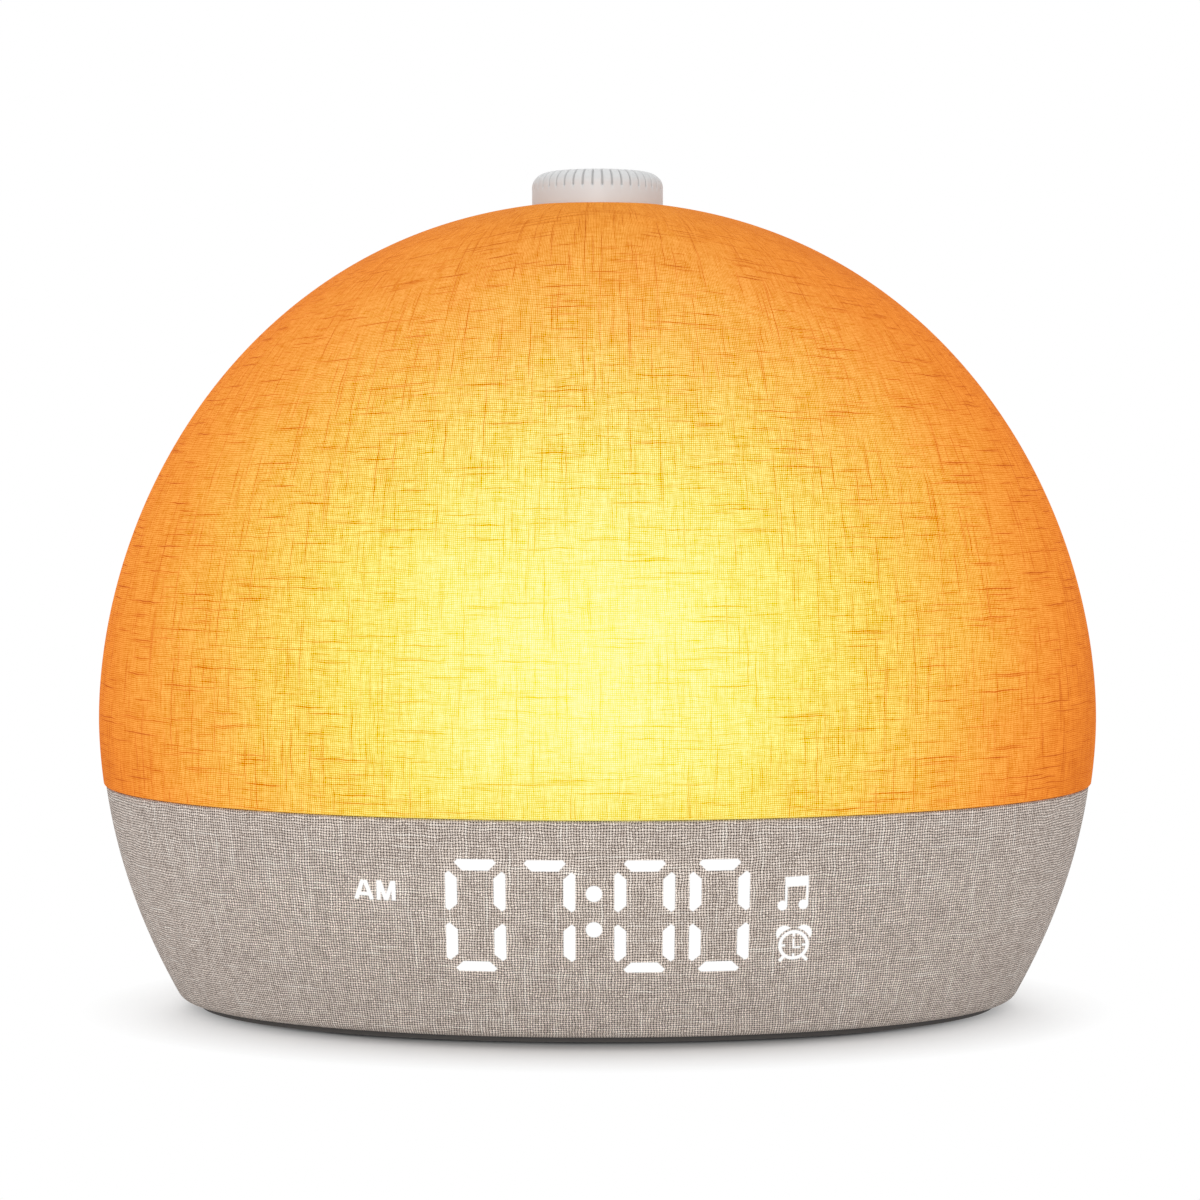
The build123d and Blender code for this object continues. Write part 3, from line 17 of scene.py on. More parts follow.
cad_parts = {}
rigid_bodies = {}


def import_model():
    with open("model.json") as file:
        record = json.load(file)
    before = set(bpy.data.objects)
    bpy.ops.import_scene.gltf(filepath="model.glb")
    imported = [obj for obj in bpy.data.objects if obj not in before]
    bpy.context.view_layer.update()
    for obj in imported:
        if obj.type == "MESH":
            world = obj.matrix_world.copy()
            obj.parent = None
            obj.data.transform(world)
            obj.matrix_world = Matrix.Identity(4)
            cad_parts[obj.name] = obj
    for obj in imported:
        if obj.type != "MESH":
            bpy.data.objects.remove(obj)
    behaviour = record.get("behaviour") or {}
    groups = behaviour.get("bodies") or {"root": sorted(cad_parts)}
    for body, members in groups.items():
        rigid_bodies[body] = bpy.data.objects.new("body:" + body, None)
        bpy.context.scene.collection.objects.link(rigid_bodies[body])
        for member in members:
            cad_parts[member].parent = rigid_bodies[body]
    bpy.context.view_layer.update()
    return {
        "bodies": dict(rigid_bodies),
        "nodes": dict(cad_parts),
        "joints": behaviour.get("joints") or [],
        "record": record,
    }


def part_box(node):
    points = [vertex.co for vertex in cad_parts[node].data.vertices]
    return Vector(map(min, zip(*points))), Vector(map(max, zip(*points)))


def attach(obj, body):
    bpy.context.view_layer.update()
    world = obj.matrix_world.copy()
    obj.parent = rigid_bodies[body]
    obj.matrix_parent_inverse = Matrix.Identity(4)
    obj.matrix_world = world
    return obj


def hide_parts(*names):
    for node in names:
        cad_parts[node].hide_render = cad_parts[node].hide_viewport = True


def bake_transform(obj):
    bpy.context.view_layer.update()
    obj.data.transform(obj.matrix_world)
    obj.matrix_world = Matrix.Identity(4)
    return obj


LOG = logging.getLogger("alarm_clock")
MM = 0.001
ROOT_BODY = "clock"
KNOB_BODY = "knob"
MARK_NEAR = "mark_near"
WEAVE_MAP = "weave"
# name of the knob's mask for the painted shade in its flutes
GROOVE_SHADE_MASK = "groove"
Colour = tuple[float, float, float]
Spot = tuple[float, float]
Array = np.ndarray
Socket = bpy.types.NodeSocket


# ------------------------------------------------------------------ form of the clock's body
@dataclass(frozen=True)
class BodyForm:
    """The form of the dome and the base: elliptical sections that shrink towards the crown and the hem."""

    half_width: float = 100.0 * MM
    half_depth: float = 53.0 * MM
    widest_z: float = 58.4 * MM
    crest_z: float = 161.6 * MM
    seam_z: float = 46.0 * MM
    hem_z: float = 2.1 * MM
    base_step: float = 0.4 * MM
    straight_taper: float = 5.4 * MM
    curved_taper: float = 9.3 * MM
    hem_radius: float = 3.2 * MM
    side_power: float = 2.14
    rise_power: float = 1.89
    depth_power: float = 3.0
    wall_samples: int = 400

    def dome_section(self, z: Array | float, inset: float = 0.0) -> tuple[Array, Array]:
        """Half width and half depth of the dome's section.

        Args:
            z: height or heights of the section.
            inset: how far the layer lies inside the cloth's face.

        Returns:
            The two half axes.
        """
        rise = np.abs(np.asarray(z) - self.widest_z) / (self.crest_z - self.widest_z - inset)
        half_width = (self.half_width - inset) * (1 - rise**self.rise_power) ** (1 / self.side_power)
        half_depth = (self.half_depth - inset) * (1 - rise**2) ** (1 / self.depth_power)
        return half_width, half_depth

    def base_taper(self, z: Array | float) -> Array:
        """How far the base has drawn in at a height, counted from the seam."""
        down = (self.seam_z - np.asarray(z)) / (self.seam_z - self.hem_z)
        return self.straight_taper * down + self.curved_taper * down**2

    def base_seam(self) -> tuple[float, float]:
        """Half width and half depth of the base's cloth at the seam."""
        half_width, half_depth = self.dome_section(self.seam_z, self.base_step)
        return float(half_width), float(half_depth)

    def wall_rise(self, z: Array) -> Array:
        """Distance up the middle of the base's wall, counted from the hem.

        Args:
            z: heights on the wall.

        Returns:
            The length of the wall's line from the hem to each height.
        """
        heights = np.linspace(self.hem_z, self.seam_z, self.wall_samples)
        depths = self.base_seam()[1] - self.base_taper(heights)
        steps = np.hypot(np.diff(heights), np.diff(depths))
        return np.interp(z, heights, np.concatenate([[0.0], np.cumsum(steps)]))


# ------------------------------------------------------------------ meshes
@dataclass
class Skin:
    """A closed band of cloth: rows of points around the clock, with a weave map and named masks."""

    rows: list[Array]
    masks: dict[str, Array] = field(default_factory=dict)

    def grid(self) -> Array:
        """All rows as one array of row, column and coordinate."""
        return np.stack(self.rows)

    def weave_map(self, shrink: float) -> tuple[Array, Array]:
        """Distances along the two thread directions.

        Args:
            shrink: how strongly the threads gather where a row is shorter than the longest one.

        Returns:
            Distance around the clock from the front's middle, and distance up the wall, for each point.
            Threads stand upright at both sides, and the cloth's ends meet in the middle of the back.
        """
        points = self.grid()
        step_round = np.linalg.norm(np.diff(points, axis=1), axis=2)
        around = np.concatenate([np.zeros((len(points), 1)), np.cumsum(step_round, axis=1)], axis=1)
        girth = around[:, -1:] + np.linalg.norm(points[:, :1] - points[:, -1:], axis=2)
        around = around - girth / 2
        back = np.abs(around) > girth / 4
        reach = np.where(back, girth / 2 - np.abs(around), np.abs(around))
        gather = shrink + (1 - shrink) * (4 * reach / girth) ** 2
        reach = reach * (girth.max() / girth) ** gather
        across = np.sign(around) * np.where(back, girth.max() / 2 - reach, reach)
        step_up = np.linalg.norm(np.diff(points, axis=0), axis=2)
        up = np.concatenate([np.zeros((1, points.shape[1])), np.cumsum(step_up, axis=0)], axis=0)
        return across, up

    def build(self, name: str, shrink: float) -> bpy.types.Object:
        """Makes the mesh object.

        Args:
            name: name of the piece.
            shrink: see weave_map.

        Returns:
            The new object, smooth shaded, with its weave map and masks.
        """
        points = self.grid()
        row_count, column_count = points.shape[:2]
        index = np.arange(row_count * column_count).reshape(row_count, column_count)
        lower, upper = index, np.roll(index, -1, axis=0)
        quads = np.stack(
            [lower, np.roll(lower, -1, axis=1), np.roll(upper, -1, axis=1), upper], axis=-1
        ).reshape(-1, 4)
        mesh = bpy.data.meshes.new(name)
        mesh.from_pydata(points.reshape(-1, 3).tolist(), [], quads.tolist())
        across, up = self.weave_map(shrink)
        corner_rows, corner_columns = np.divmod(quads.reshape(-1), column_count)
        threads = np.stack([across[corner_rows, corner_columns], up[corner_rows, corner_columns]], axis=-1)
        threads = threads.reshape(-1, 4, 2)
        # the last column of faces runs on past the cloth's ends, where the distance changes its sign
        joining = np.arange(len(threads)) % column_count == column_count - 1
        threads[joining, 1:3, 0] *= -1
        weave = mesh.uv_layers.new(name=WEAVE_MAP)
        weave.data.foreach_set("uv", threads.astype(np.float32).ravel())
        for mask_name, values in self.masks.items():
            mask = mesh.attributes.new(mask_name, "FLOAT", "POINT")
            mask.data.foreach_set("value", values.astype(np.float32).ravel())
        mesh.polygons.foreach_set("use_smooth", np.ones(len(quads), bool))
        mesh.update()
        return link_piece(name, mesh)


def link_piece(name: str, mesh: bpy.types.Mesh) -> bpy.types.Object:
    """Puts a mesh into the scene as an object of the same name."""
    piece = bpy.data.objects.new(name, mesh)
    bpy.context.scene.collection.objects.link(piece)
    return piece


def applied(piece: bpy.types.Object) -> None:
    """Bakes a piece's modifiers into its mesh."""
    view = bpy.context.evaluated_depsgraph_get()
    mesh = bpy.data.meshes.new_from_object(piece.evaluated_get(view))
    piece.modifiers.clear()
    piece.data = mesh


def ring_points(half_width: Array, half_depth: Array, z: Array, angles: Array) -> Array:
    """Points of one row, counted around the clock from the back through the front's middle.

    Args:
        half_width: half width of the section, one value or one for each angle.
        half_depth: half depth of the section, in the same way.
        z: height, in the same way.
        angles: angle of each point from the front's middle.

    Returns:
        The row's points.
    """
    return np.stack([
        half_width * np.sin(angles), -half_depth * np.cos(angles), np.broadcast_to(z, angles.shape)
    ], axis=-1)


# ------------------------------------------------------------------ shader graphs
class Graph:
    """A shader graph, of a material or of a group, with short calls for the nodes that the finishes use."""

    def __init__(self, tree: bpy.types.ShaderNodeTree) -> None:
        """Starts on an empty tree."""
        self.tree = tree
        tree.nodes.clear()

    def add(self, kind: str, **settings: object) -> bpy.types.Node:
        """Adds a node and sets its properties."""
        node = self.tree.nodes.new(kind)
        for key, value in settings.items():
            setattr(node, key, value)
        return node

    def feed(self, socket: Socket, value: object) -> None:
        """Gives a socket a link or a constant."""
        if isinstance(value, Socket):
            self.tree.links.new(value, socket)
        elif value is not None:
            socket.default_value = value

    def maths(self, operation: str, *values: object, clamp: bool = False) -> Socket:
        """One arithmetic step.

        Args:
            operation: name of the operation.
            values: inputs, each a socket or a number.
            clamp: whether the result is held between 0 and 1.

        Returns:
            The result's socket.
        """
        node = self.add("ShaderNodeMath", operation=operation, use_clamp=clamp)
        for socket, value in zip(node.inputs, values):
            self.feed(socket, value)
        return node.outputs[0]

    def plus(self, first: object, second: object) -> Socket:
        """The sum of two values."""
        return self.maths("ADD", first, second)

    def minus(self, first: object, second: object) -> Socket:
        """The first value less the second."""
        return self.maths("SUBTRACT", first, second)

    def times(self, first: object, second: object, clamp: bool = False) -> Socket:
        """The product of two values."""
        return self.maths("MULTIPLY", first, second, clamp=clamp)

    def times_plus(self, value: object, factor: object, more: object, clamp: bool = False) -> Socket:
        """A value times a factor, and something more."""
        return self.maths("MULTIPLY_ADD", value, factor, more, clamp=clamp)

    def larger(self, first: object, second: object) -> Socket:
        """The larger of two values."""
        return self.maths("MAXIMUM", first, second)

    def span(
        self, value: object, low: float, high: float, to_low: float = 0.0, to_high: float = 1.0,
    ) -> Socket:
        """Maps a range of values onto another, held at both ends."""
        node = self.add("ShaderNodeMapRange", clamp=True)
        for socket, number in zip(node.inputs, (value, low, high, to_low, to_high)):
            self.feed(socket, number)
        return node.outputs[0]

    def blend(self, share: object, first: object, second: object, mode: str = "MIX") -> Socket:
        """Blends two colours by a share."""
        node = self.add("ShaderNodeMix", data_type="RGBA", blend_type=mode)
        self.feed(node.inputs[0], share)
        self.feed(node.inputs[6], first)
        self.feed(node.inputs[7], second)
        return node.outputs[2]

    def shaded(self, colour: object, shade: object) -> Socket:
        """A colour times a second colour, channel by channel."""
        return self.blend(1.0, colour, shade, "MULTIPLY")

    def grey(self, value: object) -> Socket:
        """The same value in all three channels."""
        return self.joined(value, value, value)

    def noise(self, vector: object, scale: float, detail: float = 2.0, roughness: float = 0.5) -> Socket:
        """Smooth noise between 0 and 1."""
        node = self.add("ShaderNodeTexNoise")
        self.feed(node.inputs["Vector"], vector)
        self.feed(node.inputs["Scale"], scale)
        self.feed(node.inputs["Detail"], detail)
        self.feed(node.inputs["Roughness"], roughness)
        return node.outputs["Fac"]

    def joined(self, x: object, y: object, z: object = 0.0) -> Socket:
        """A vector from three values."""
        node = self.add("ShaderNodeCombineXYZ")
        for socket, value in zip(node.inputs, (x, y, z)):
            self.feed(socket, value)
        return node.outputs[0]

    def parted(self, vector: object) -> Sequence[Socket]:
        """The three values of a vector."""
        node = self.add("ShaderNodeSeparateXYZ")
        self.feed(node.inputs[0], vector)
        return node.outputs

    def ramp(self, share: object, stops: Iterable[tuple[float, Colour]]) -> Socket:
        """A colour ramp through the given stops."""
        node = self.add("ShaderNodeValToRGB")
        self.feed(node.inputs[0], share)
        elements = node.color_ramp.elements
        stops = list(stops)
        while len(elements) < len(stops):
            elements.new(0.5)
        for element, (place, colour) in zip(elements, stops):
            element.position = place
            element.color = (*colour, 1.0)
        return node.outputs[0]

    def position(self) -> Socket:
        """Object coordinates, which are the frame's own metres."""
        return self.add("ShaderNodeTexCoord").outputs["Object"]

    def bump(self, height: object, distance: float, strength: float = 1.0) -> Socket:
        """A normal from a height."""
        node = self.add("ShaderNodeBump")
        self.feed(node.inputs["Height"], height)
        node.inputs["Distance"].default_value = distance
        node.inputs["Strength"].default_value = strength
        return node.outputs["Normal"]

    def use(self, group: bpy.types.ShaderNodeTree, **values: object) -> bpy.types.Node:
        """Places a group with its own values."""
        node = self.add("ShaderNodeGroup", node_tree=group)
        for key, value in values.items():
            self.feed(node.inputs[key.replace("_", " ")], value)
        return node


def new_group(
    name: str, inputs: dict[str, tuple[str, object]], outputs: dict[str, str],
) -> tuple[Graph, dict[str, Socket], dict[str, Socket]]:
    """Starts a shader group.

    Args:
        name: name of the group.
        inputs: type and first value of each input.
        outputs: type of each output.

    Returns:
        The graph, its input values and its output sockets.
    """
    tree = bpy.data.node_groups.new(name, "ShaderNodeTree")
    graph = Graph(tree)
    for key, (kind, value) in inputs.items():
        socket = tree.interface.new_socket(name=key, in_out="INPUT", socket_type=kind)
        if value is not None:
            socket.default_value = value
    for key, kind in outputs.items():
        tree.interface.new_socket(name=key, in_out="OUTPUT", socket_type=kind)
    entry, leave = graph.add("NodeGroupInput"), graph.add("NodeGroupOutput")
    return graph, {key: entry.outputs[key] for key in inputs}, {key: leave.inputs[key] for key in outputs}


FLOAT, VECTOR = "NodeSocketFloat", "NodeSocketVector"


class Effects:
    """The shader groups that several finishes share. Each is built once."""

    # waves in the course of the threads, for each metre
    WAVES: ClassVar[float] = 240.0
    # places in the noise that keep single threads, the two directions and the slubs apart
    TURNED_PLACE: ClassVar[float] = 0.31
    THREAD_APART: ClassVar[float] = 3.713
    THREAD_SEEDS: ClassVar[tuple[float, float]] = (0.37, 7.91)
    SLUB_SEED: ClassVar[float] = 3.3
    # how uneven the tone of one thread is
    TONE_ROUGHNESS: ClassVar[float] = 0.65
    # height of a thread where it dives under another, as a share of its full height
    UNDER_LIFT: ClassVar[float] = 0.5
    # depth between two threads where a hole starts and where it is fully open, and the smallest hole's share
    HOLE_DEPTH: ClassVar[tuple[float, float]] = (0.05, 0.40)
    HOLE_LEAST: ClassVar[float] = 0.45
    # detail and roughness of the fine grain and of the slow change of tone
    GRAIN_NOISE: ClassVar[tuple[float, float]] = (3.0, 0.6)
    TONE_NOISE: ClassVar[tuple[float, float]] = (3.0, 0.55)

    def __init__(self) -> None:
        """Builds all groups."""
        self.weave = self._weave()
        self.grain = self._grain()

    def _weave(self) -> bpy.types.ShaderNodeTree:
        """Plain weave of uneven threads: relief, corner holes, the tone of each thread, and thick slubs."""
        graph, values, results = new_group(
            "plain weave",
            {
                "Map": (VECTOR, None), "Pitch": (FLOAT, 0.00045), "Tone Length": (FLOAT, 9.0),
                "Slub Length": (FLOAT, 30.0), "Slub Limit": (FLOAT, 0.64), "Slub Gain": (FLOAT, 12.0),
                "Waver": (FLOAT, 3.0),
            },
            {
                "Height": FLOAT, "Hole": FLOAT, "Over": FLOAT, "Tone Up": FLOAT, "Tone Across": FLOAT,
                "Slub Up": FLOAT, "Slub Across": FLOAT,
            },
        )
        across, up, _ = graph.parted(values["Map"])
        turned = graph.joined(up, across, self.TURNED_PLACE)
        u, v = (
            graph.plus(
                graph.maths("DIVIDE", distance, values["Pitch"]),
                graph.times(graph.minus(graph.noise(place, self.WAVES), 0.5), values["Waver"]),
            )
            for distance, place in ((across, values["Map"]), (up, turned))
        )
        numbers, profiles = [], []
        for key, main, along, seed in zip(("Up", "Across"), (u, v), (v, u), self.THREAD_SEEDS):
            number = graph.maths("FLOOR", main)
            place = graph.minus(graph.maths("FRACT", main), 0.5)
            profile = graph.minus(1.0, graph.times(graph.times(place, place), 4.0))
            apart = graph.times(number, self.THREAD_APART)
            tone_way = graph.maths("DIVIDE", along, values["Tone Length"])
            slub_way = graph.maths("DIVIDE", along, values["Slub Length"])
            short = graph.joined(apart, tone_way, seed)
            long = graph.joined(apart, slub_way, seed + self.SLUB_SEED)
            graph.feed(results[f"Tone {key}"], graph.noise(short, 1.0, 2.0, self.TONE_ROUGHNESS))
            excess = graph.minus(graph.noise(long, 1.0, 1.0), values["Slub Limit"])
            slub = graph.times(excess, values["Slub Gain"], clamp=True)
            graph.feed(results[f"Slub {key}"], graph.times(slub, graph.maths("POWER", profile, 0.5)))
            numbers.append(number)
            profiles.append(profile)
        parity = graph.maths("MODULO", graph.plus(*numbers), 2.0)
        over = graph.maths("GREATER_THAN", graph.maths("ABSOLUTE", parity), 0.5)
        lifts = [
            graph.times(profile, graph.times_plus(on_top, 1.0 - self.UNDER_LIFT, self.UNDER_LIFT))
            for profile, on_top in zip(profiles, (over, graph.minus(1.0, over)))
        ]
        corner = graph.times(*(graph.minus(1.0, profile) for profile in profiles))
        cell = graph.add("ShaderNodeTexWhiteNoise", noise_dimensions="2D")
        crossing = graph.joined(*(graph.maths("FLOOR", graph.plus(value, 0.5)) for value in (u, v)))
        graph.feed(cell.inputs["Vector"], crossing)
        size = graph.span(cell.outputs["Value"], 0.0, 1.0, self.HOLE_LEAST, 1.0)
        graph.feed(results["Height"], graph.larger(*lifts))
        graph.feed(results["Hole"], graph.times(graph.span(corner, *self.HOLE_DEPTH), size))
        graph.feed(results["Over"], over)
        return graph.tree

    def _grain(self) -> bpy.types.ShaderNodeTree:
        """Fine grain of a moulded, rolled or cast surface: height, and a slow change of tone."""
        graph, values, results = new_group(
            "surface grain",
            {"Place": (VECTOR, None), "Size": (FLOAT, 0.0003), "Patch": (FLOAT, 0.02)},
            {"Height": FLOAT, "Tone": FLOAT},
        )
        for result, size, noise in (("Height", "Size", self.GRAIN_NOISE), ("Tone", "Patch", self.TONE_NOISE)):
            scale = graph.add("ShaderNodeVectorMath", operation="SCALE")
            graph.feed(scale.inputs[0], values["Place"])
            graph.feed(scale.inputs["Scale"], graph.maths("DIVIDE", 1.0, values[size]))
            graph.feed(results[result], graph.noise(scale.outputs[0], 1.0, *noise))
        return graph.tree


def scaled(colour: Colour, factor: float) -> Colour:
    """A colour made lighter or darker."""
    return (colour[0] * factor, colour[1] * factor, colour[2] * factor)


def opaque(colour: Colour) -> tuple[float, float, float, float]:
    """A colour with full alpha."""
    return (*colour, 1.0)


def new_material(name: str, **plain: float) -> tuple[bpy.types.Material, Graph, bpy.types.Node]:
    """Starts a material with its shader and output.

    Args:
        name: name of the material.
        plain: constants of the shader's sockets, with an underscore for each space in a socket's name.

    Returns:
        The material, its graph and its shader node.
    """
    material = bpy.data.materials.new(name)
    material.use_nodes = True
    graph = Graph(material.node_tree)
    shader = graph.add("ShaderNodeBsdfPrincipled")
    output = graph.add("ShaderNodeOutputMaterial")
    graph.tree.links.new(shader.outputs[0], output.inputs[0])
    for key, value in plain.items():
        shader.inputs[key.replace("_", " ")].default_value = value
    return material, graph, shader


# ------------------------------------------------------------------ finishes
@dataclass(frozen=True)
class ThreadPlan:
    """How a cloth is woven. The lengths along the threads are counted in thread widths."""

    pitch: float
    tone_length: float
    slub_length: float
    slub_limit: float
    slub_gain: float
    waver: float

    def place(self, graph: Graph, effects: Effects) -> Mapping[str, Socket]:
        """Places the weave in a material and gives its outputs."""
        return graph.use(
            effects.weave, Map=graph.add("ShaderNodeUVMap", uv_map=WEAVE_MAP).outputs[0],
            Pitch=self.pitch, Tone_Length=self.tone_length, Slub_Length=self.slub_length,
            Slub_Limit=self.slub_limit, Slub_Gain=self.slub_gain, Waver=self.waver,
        ).outputs


@dataclass(frozen=True)
class GlowingCloth:
    """Fine cloth lit from inside. The light fades with the distance from a core low in the dome."""

    name: str = "glowing cloth"
    threads: ThreadPlan = ThreadPlan(0.38 * MM, 11.0, 38.0, 0.59, 6.0, 1.8)
    # where the light is strongest, how fast it fades along each axis, and where the fading starts and ends
    core: tuple[float, float, float] = (-2.3 * MM, 0.0, 74.4 * MM)
    reach: tuple[float, float, float] = (0.3085, 0.2057, 0.3552)
    near: float = 11.0
    far: float = 31.0
    # soft patches in the fading
    patch_scale: float = 70.0
    patch_detail: float = 4.0
    patch_roughness: float = 0.62
    patch_depth: float = 0.16
    # how strongly the threads' tone, relief, holes and slubs show, and in which colours
    uneven: float = 10.0
    relief: float = 10.0
    open_work: float = 10.0
    mean_height: float = 0.68
    mean_hole: float = 0.2
    slub_depth: float = 0.23
    slub_shade: float = 4.0
    up_share: float = 0.75
    tint: Colour = (0.035, 0.068, 0.190)
    # share of the threads' contrast that is left in the brightest light, and where all of it is back
    calm: Colour = (0.12, 0.12, 0.55)
    calm_end: float = 0.40
    cloth: Colour = (0.085, 0.040, 0.014)
    # the paler light near the knob
    crown_rise: tuple[float, float] = (90.0 * MM, 160.0 * MM)
    crown_half: float = 90.0 * MM
    crown_edge: float = 0.05
    crown_green: float = 0.34
    crown_blue: float = 0.88
    roughness: float = 0.95
    specular: float = 0.08
    bump_height: float = 0.05 * MM
    bump_strength: float = 0.3
    glow_stops: tuple[tuple[float, Colour], ...] = (
        (0.00, (0.915, 0.920, 0.345)),
        (0.12, (0.910, 0.885, 0.262)),
        (0.25, (0.905, 0.800, 0.172)),
        (0.42, (0.905, 0.645, 0.113)),
        (0.60, (0.900, 0.465, 0.071)),
        (0.78, (0.880, 0.325, 0.040)),
        (0.92, (0.815, 0.232, 0.019)),
        (1.00, (0.705, 0.175, 0.010)),
    )

    def _fading(self, graph: Graph) -> Socket:
        """How far the light has faded, from 0 near the core to 1 far from it, in soft patches."""
        parts = []
        for value, centre, reach in zip(graph.parted(graph.position()), self.core, self.reach):
            side = graph.times(graph.minus(value, centre), reach / MM)
            parts.append(graph.times(side, side))
        distance = graph.maths("SQRT", graph.plus(graph.plus(parts[0], parts[1]), parts[2]))
        share = graph.span(distance, self.near, self.far)
        patch = graph.noise(graph.position(), self.patch_scale, self.patch_detail, self.patch_roughness)
        return graph.times_plus(graph.minus(patch, 0.5), self.patch_depth, share)

    def _texture(self, graph: Graph, weave: Mapping[str, Socket], slubs: Socket) -> Socket:
        """How much lighter or darker the threads make the cloth at a point."""
        tone = graph.minus(graph.plus(weave["Tone Up"], weave["Tone Across"]), 1.0)
        height = graph.minus(weave["Height"], self.mean_height)
        texture = graph.times_plus(height, -self.relief, graph.times(tone, self.uneven))
        texture = graph.times_plus(graph.minus(weave["Hole"], self.mean_hole), self.open_work, texture)
        return graph.times_plus(slubs, -self.slub_shade, texture)

    def _crown(self, graph: Graph) -> Socket:
        """Colour that pales the light towards the top of the dome."""
        x, _, z = graph.parted(graph.position())
        middle = graph.span(graph.maths("ABSOLUTE", x), 0.0, self.crown_half, 1.0, self.crown_edge)
        crown = graph.times(graph.span(z, *self.crown_rise), middle)
        green = graph.times_plus(graph.times(crown, crown), self.crown_green, 1.0)
        return graph.joined(1.0, green, graph.times_plus(crown, self.crown_blue, 1.0))

    def material(self, effects: Effects) -> bpy.types.Material:
        """Builds the material."""
        material, graph, shader = new_material(
            self.name, Roughness=self.roughness, Specular_IOR_Level=self.specular, Emission_Strength=1.0)
        weave = self.threads.place(graph, effects)
        fading = self._fading(graph)
        slubs = graph.larger(graph.times(weave["Slub Up"], self.up_share), weave["Slub Across"])
        glow = graph.ramp(graph.times_plus(slubs, self.slub_depth, fading), self.glow_stops)
        texture = self._texture(graph, weave, slubs)
        shades = []
        for calm, strength in zip(self.calm, self.tint):
            held = graph.times(texture, graph.span(fading, 0.0, self.calm_end, calm, 1.0))
            shades.append(graph.times_plus(held, strength, 1.0))
        glow = graph.shaded(graph.shaded(glow, graph.joined(*shades)), self._crown(graph))
        graph.feed(shader.inputs["Base Color"], opaque(self.cloth))
        graph.feed(shader.inputs["Emission Color"], glow)
        graph.feed(shader.inputs["Normal"], graph.bump(weave["Height"], self.bump_height, self.bump_strength))
        return material


@dataclass(frozen=True)
class LinenCloth:
    """Coarse warm grey linen, through which the display's lit marks shine white."""

    name: str = "grey linen"
    threads: ThreadPlan = ThreadPlan(0.53 * MM, 5.5, 22.0, 0.62, 7.0, 1.6)
    dark: Colour = (0.560, 0.472, 0.420)
    pale: Colour = (0.960, 0.850, 0.772)
    slub: Colour = (1.000, 0.930, 0.860)
    # colour of the holes between threads: painted shade of the inside behind the cloth
    hole: Colour = (0.030, 0.020, 0.015)
    tone_range: tuple[float, float] = (0.32, 0.68)
    slub_share: float = 0.75
    # painted shade from the threads' height: how strongly the colour darkens where a thread dips
    shade_gain: float = 1.80
    shade_lift: float = -0.56
    halo: float = 0.14
    halo_reach: float = 0.9
    edge: float = 0.11
    lit_body: Colour = (0.02, 0.02, 0.02)
    lit_glow: Colour = (1.0, 1.0, 1.0)
    roughness: float = 0.92
    specular: float = 0.12
    sheen: float = 0.05
    bump_height: float = 0.12 * MM
    bump_strength: float = 0.6

    def _cloth(self, graph: Graph, weave: Mapping[str, Socket]) -> Socket:
        """Colour of the cloth where no mark is lit, with painted shade where the threads dip and in the holes
        between them.
        """
        under = graph.times(graph.minus(1.0, weave["Over"]), weave["Tone Across"])
        tone = graph.plus(graph.times(weave["Over"], weave["Tone Up"]), under)
        threads = graph.blend(graph.span(tone, *self.tone_range), opaque(self.dark), opaque(self.pale))
        slubs = graph.larger(weave["Slub Up"], weave["Slub Across"])
        threads = graph.blend(graph.times(slubs, self.slub_share), threads, opaque(self.slub))
        # painted shade: the threads darken where they dip under their neighbours, and the holes take the
        # painted dark of the shade behind the cloth
        shade = graph.times_plus(weave["Height"], self.shade_gain, self.shade_lift, clamp=True)
        return graph.blend(weave["Hole"], graph.shaded(threads, graph.grey(shade)), opaque(self.hole))

    def material(self, effects: Effects) -> bpy.types.Material:
        """Builds the material."""
        material, graph, shader = new_material(
            self.name, Roughness=self.roughness, Specular_IOR_Level=self.specular, Sheen_Weight=self.sheen,
            Emission_Strength=1.0)
        weave = self.threads.place(graph, effects)
        cloth = self._cloth(graph, weave)
        near = graph.add("ShaderNodeAttribute", attribute_name=MARK_NEAR).outputs["Fac"]
        gap = graph.minus(Display.far, near)
        lit = graph.span(gap, -self.edge, self.edge, 1.0, 0.0)
        halo = graph.maths("EXPONENT", graph.times(graph.larger(gap, 0.0), -1.0 / self.halo_reach))
        faint = graph.shaded(cloth, graph.grey(graph.times(halo, self.halo)))
        graph.feed(shader.inputs["Base Color"], graph.blend(lit, cloth, opaque(self.lit_body)))
        graph.feed(shader.inputs["Emission Color"], graph.blend(lit, faint, opaque(self.lit_glow)))
        graph.feed(shader.inputs["Normal"], graph.bump(weave["Height"], self.bump_height, self.bump_strength))
        return material


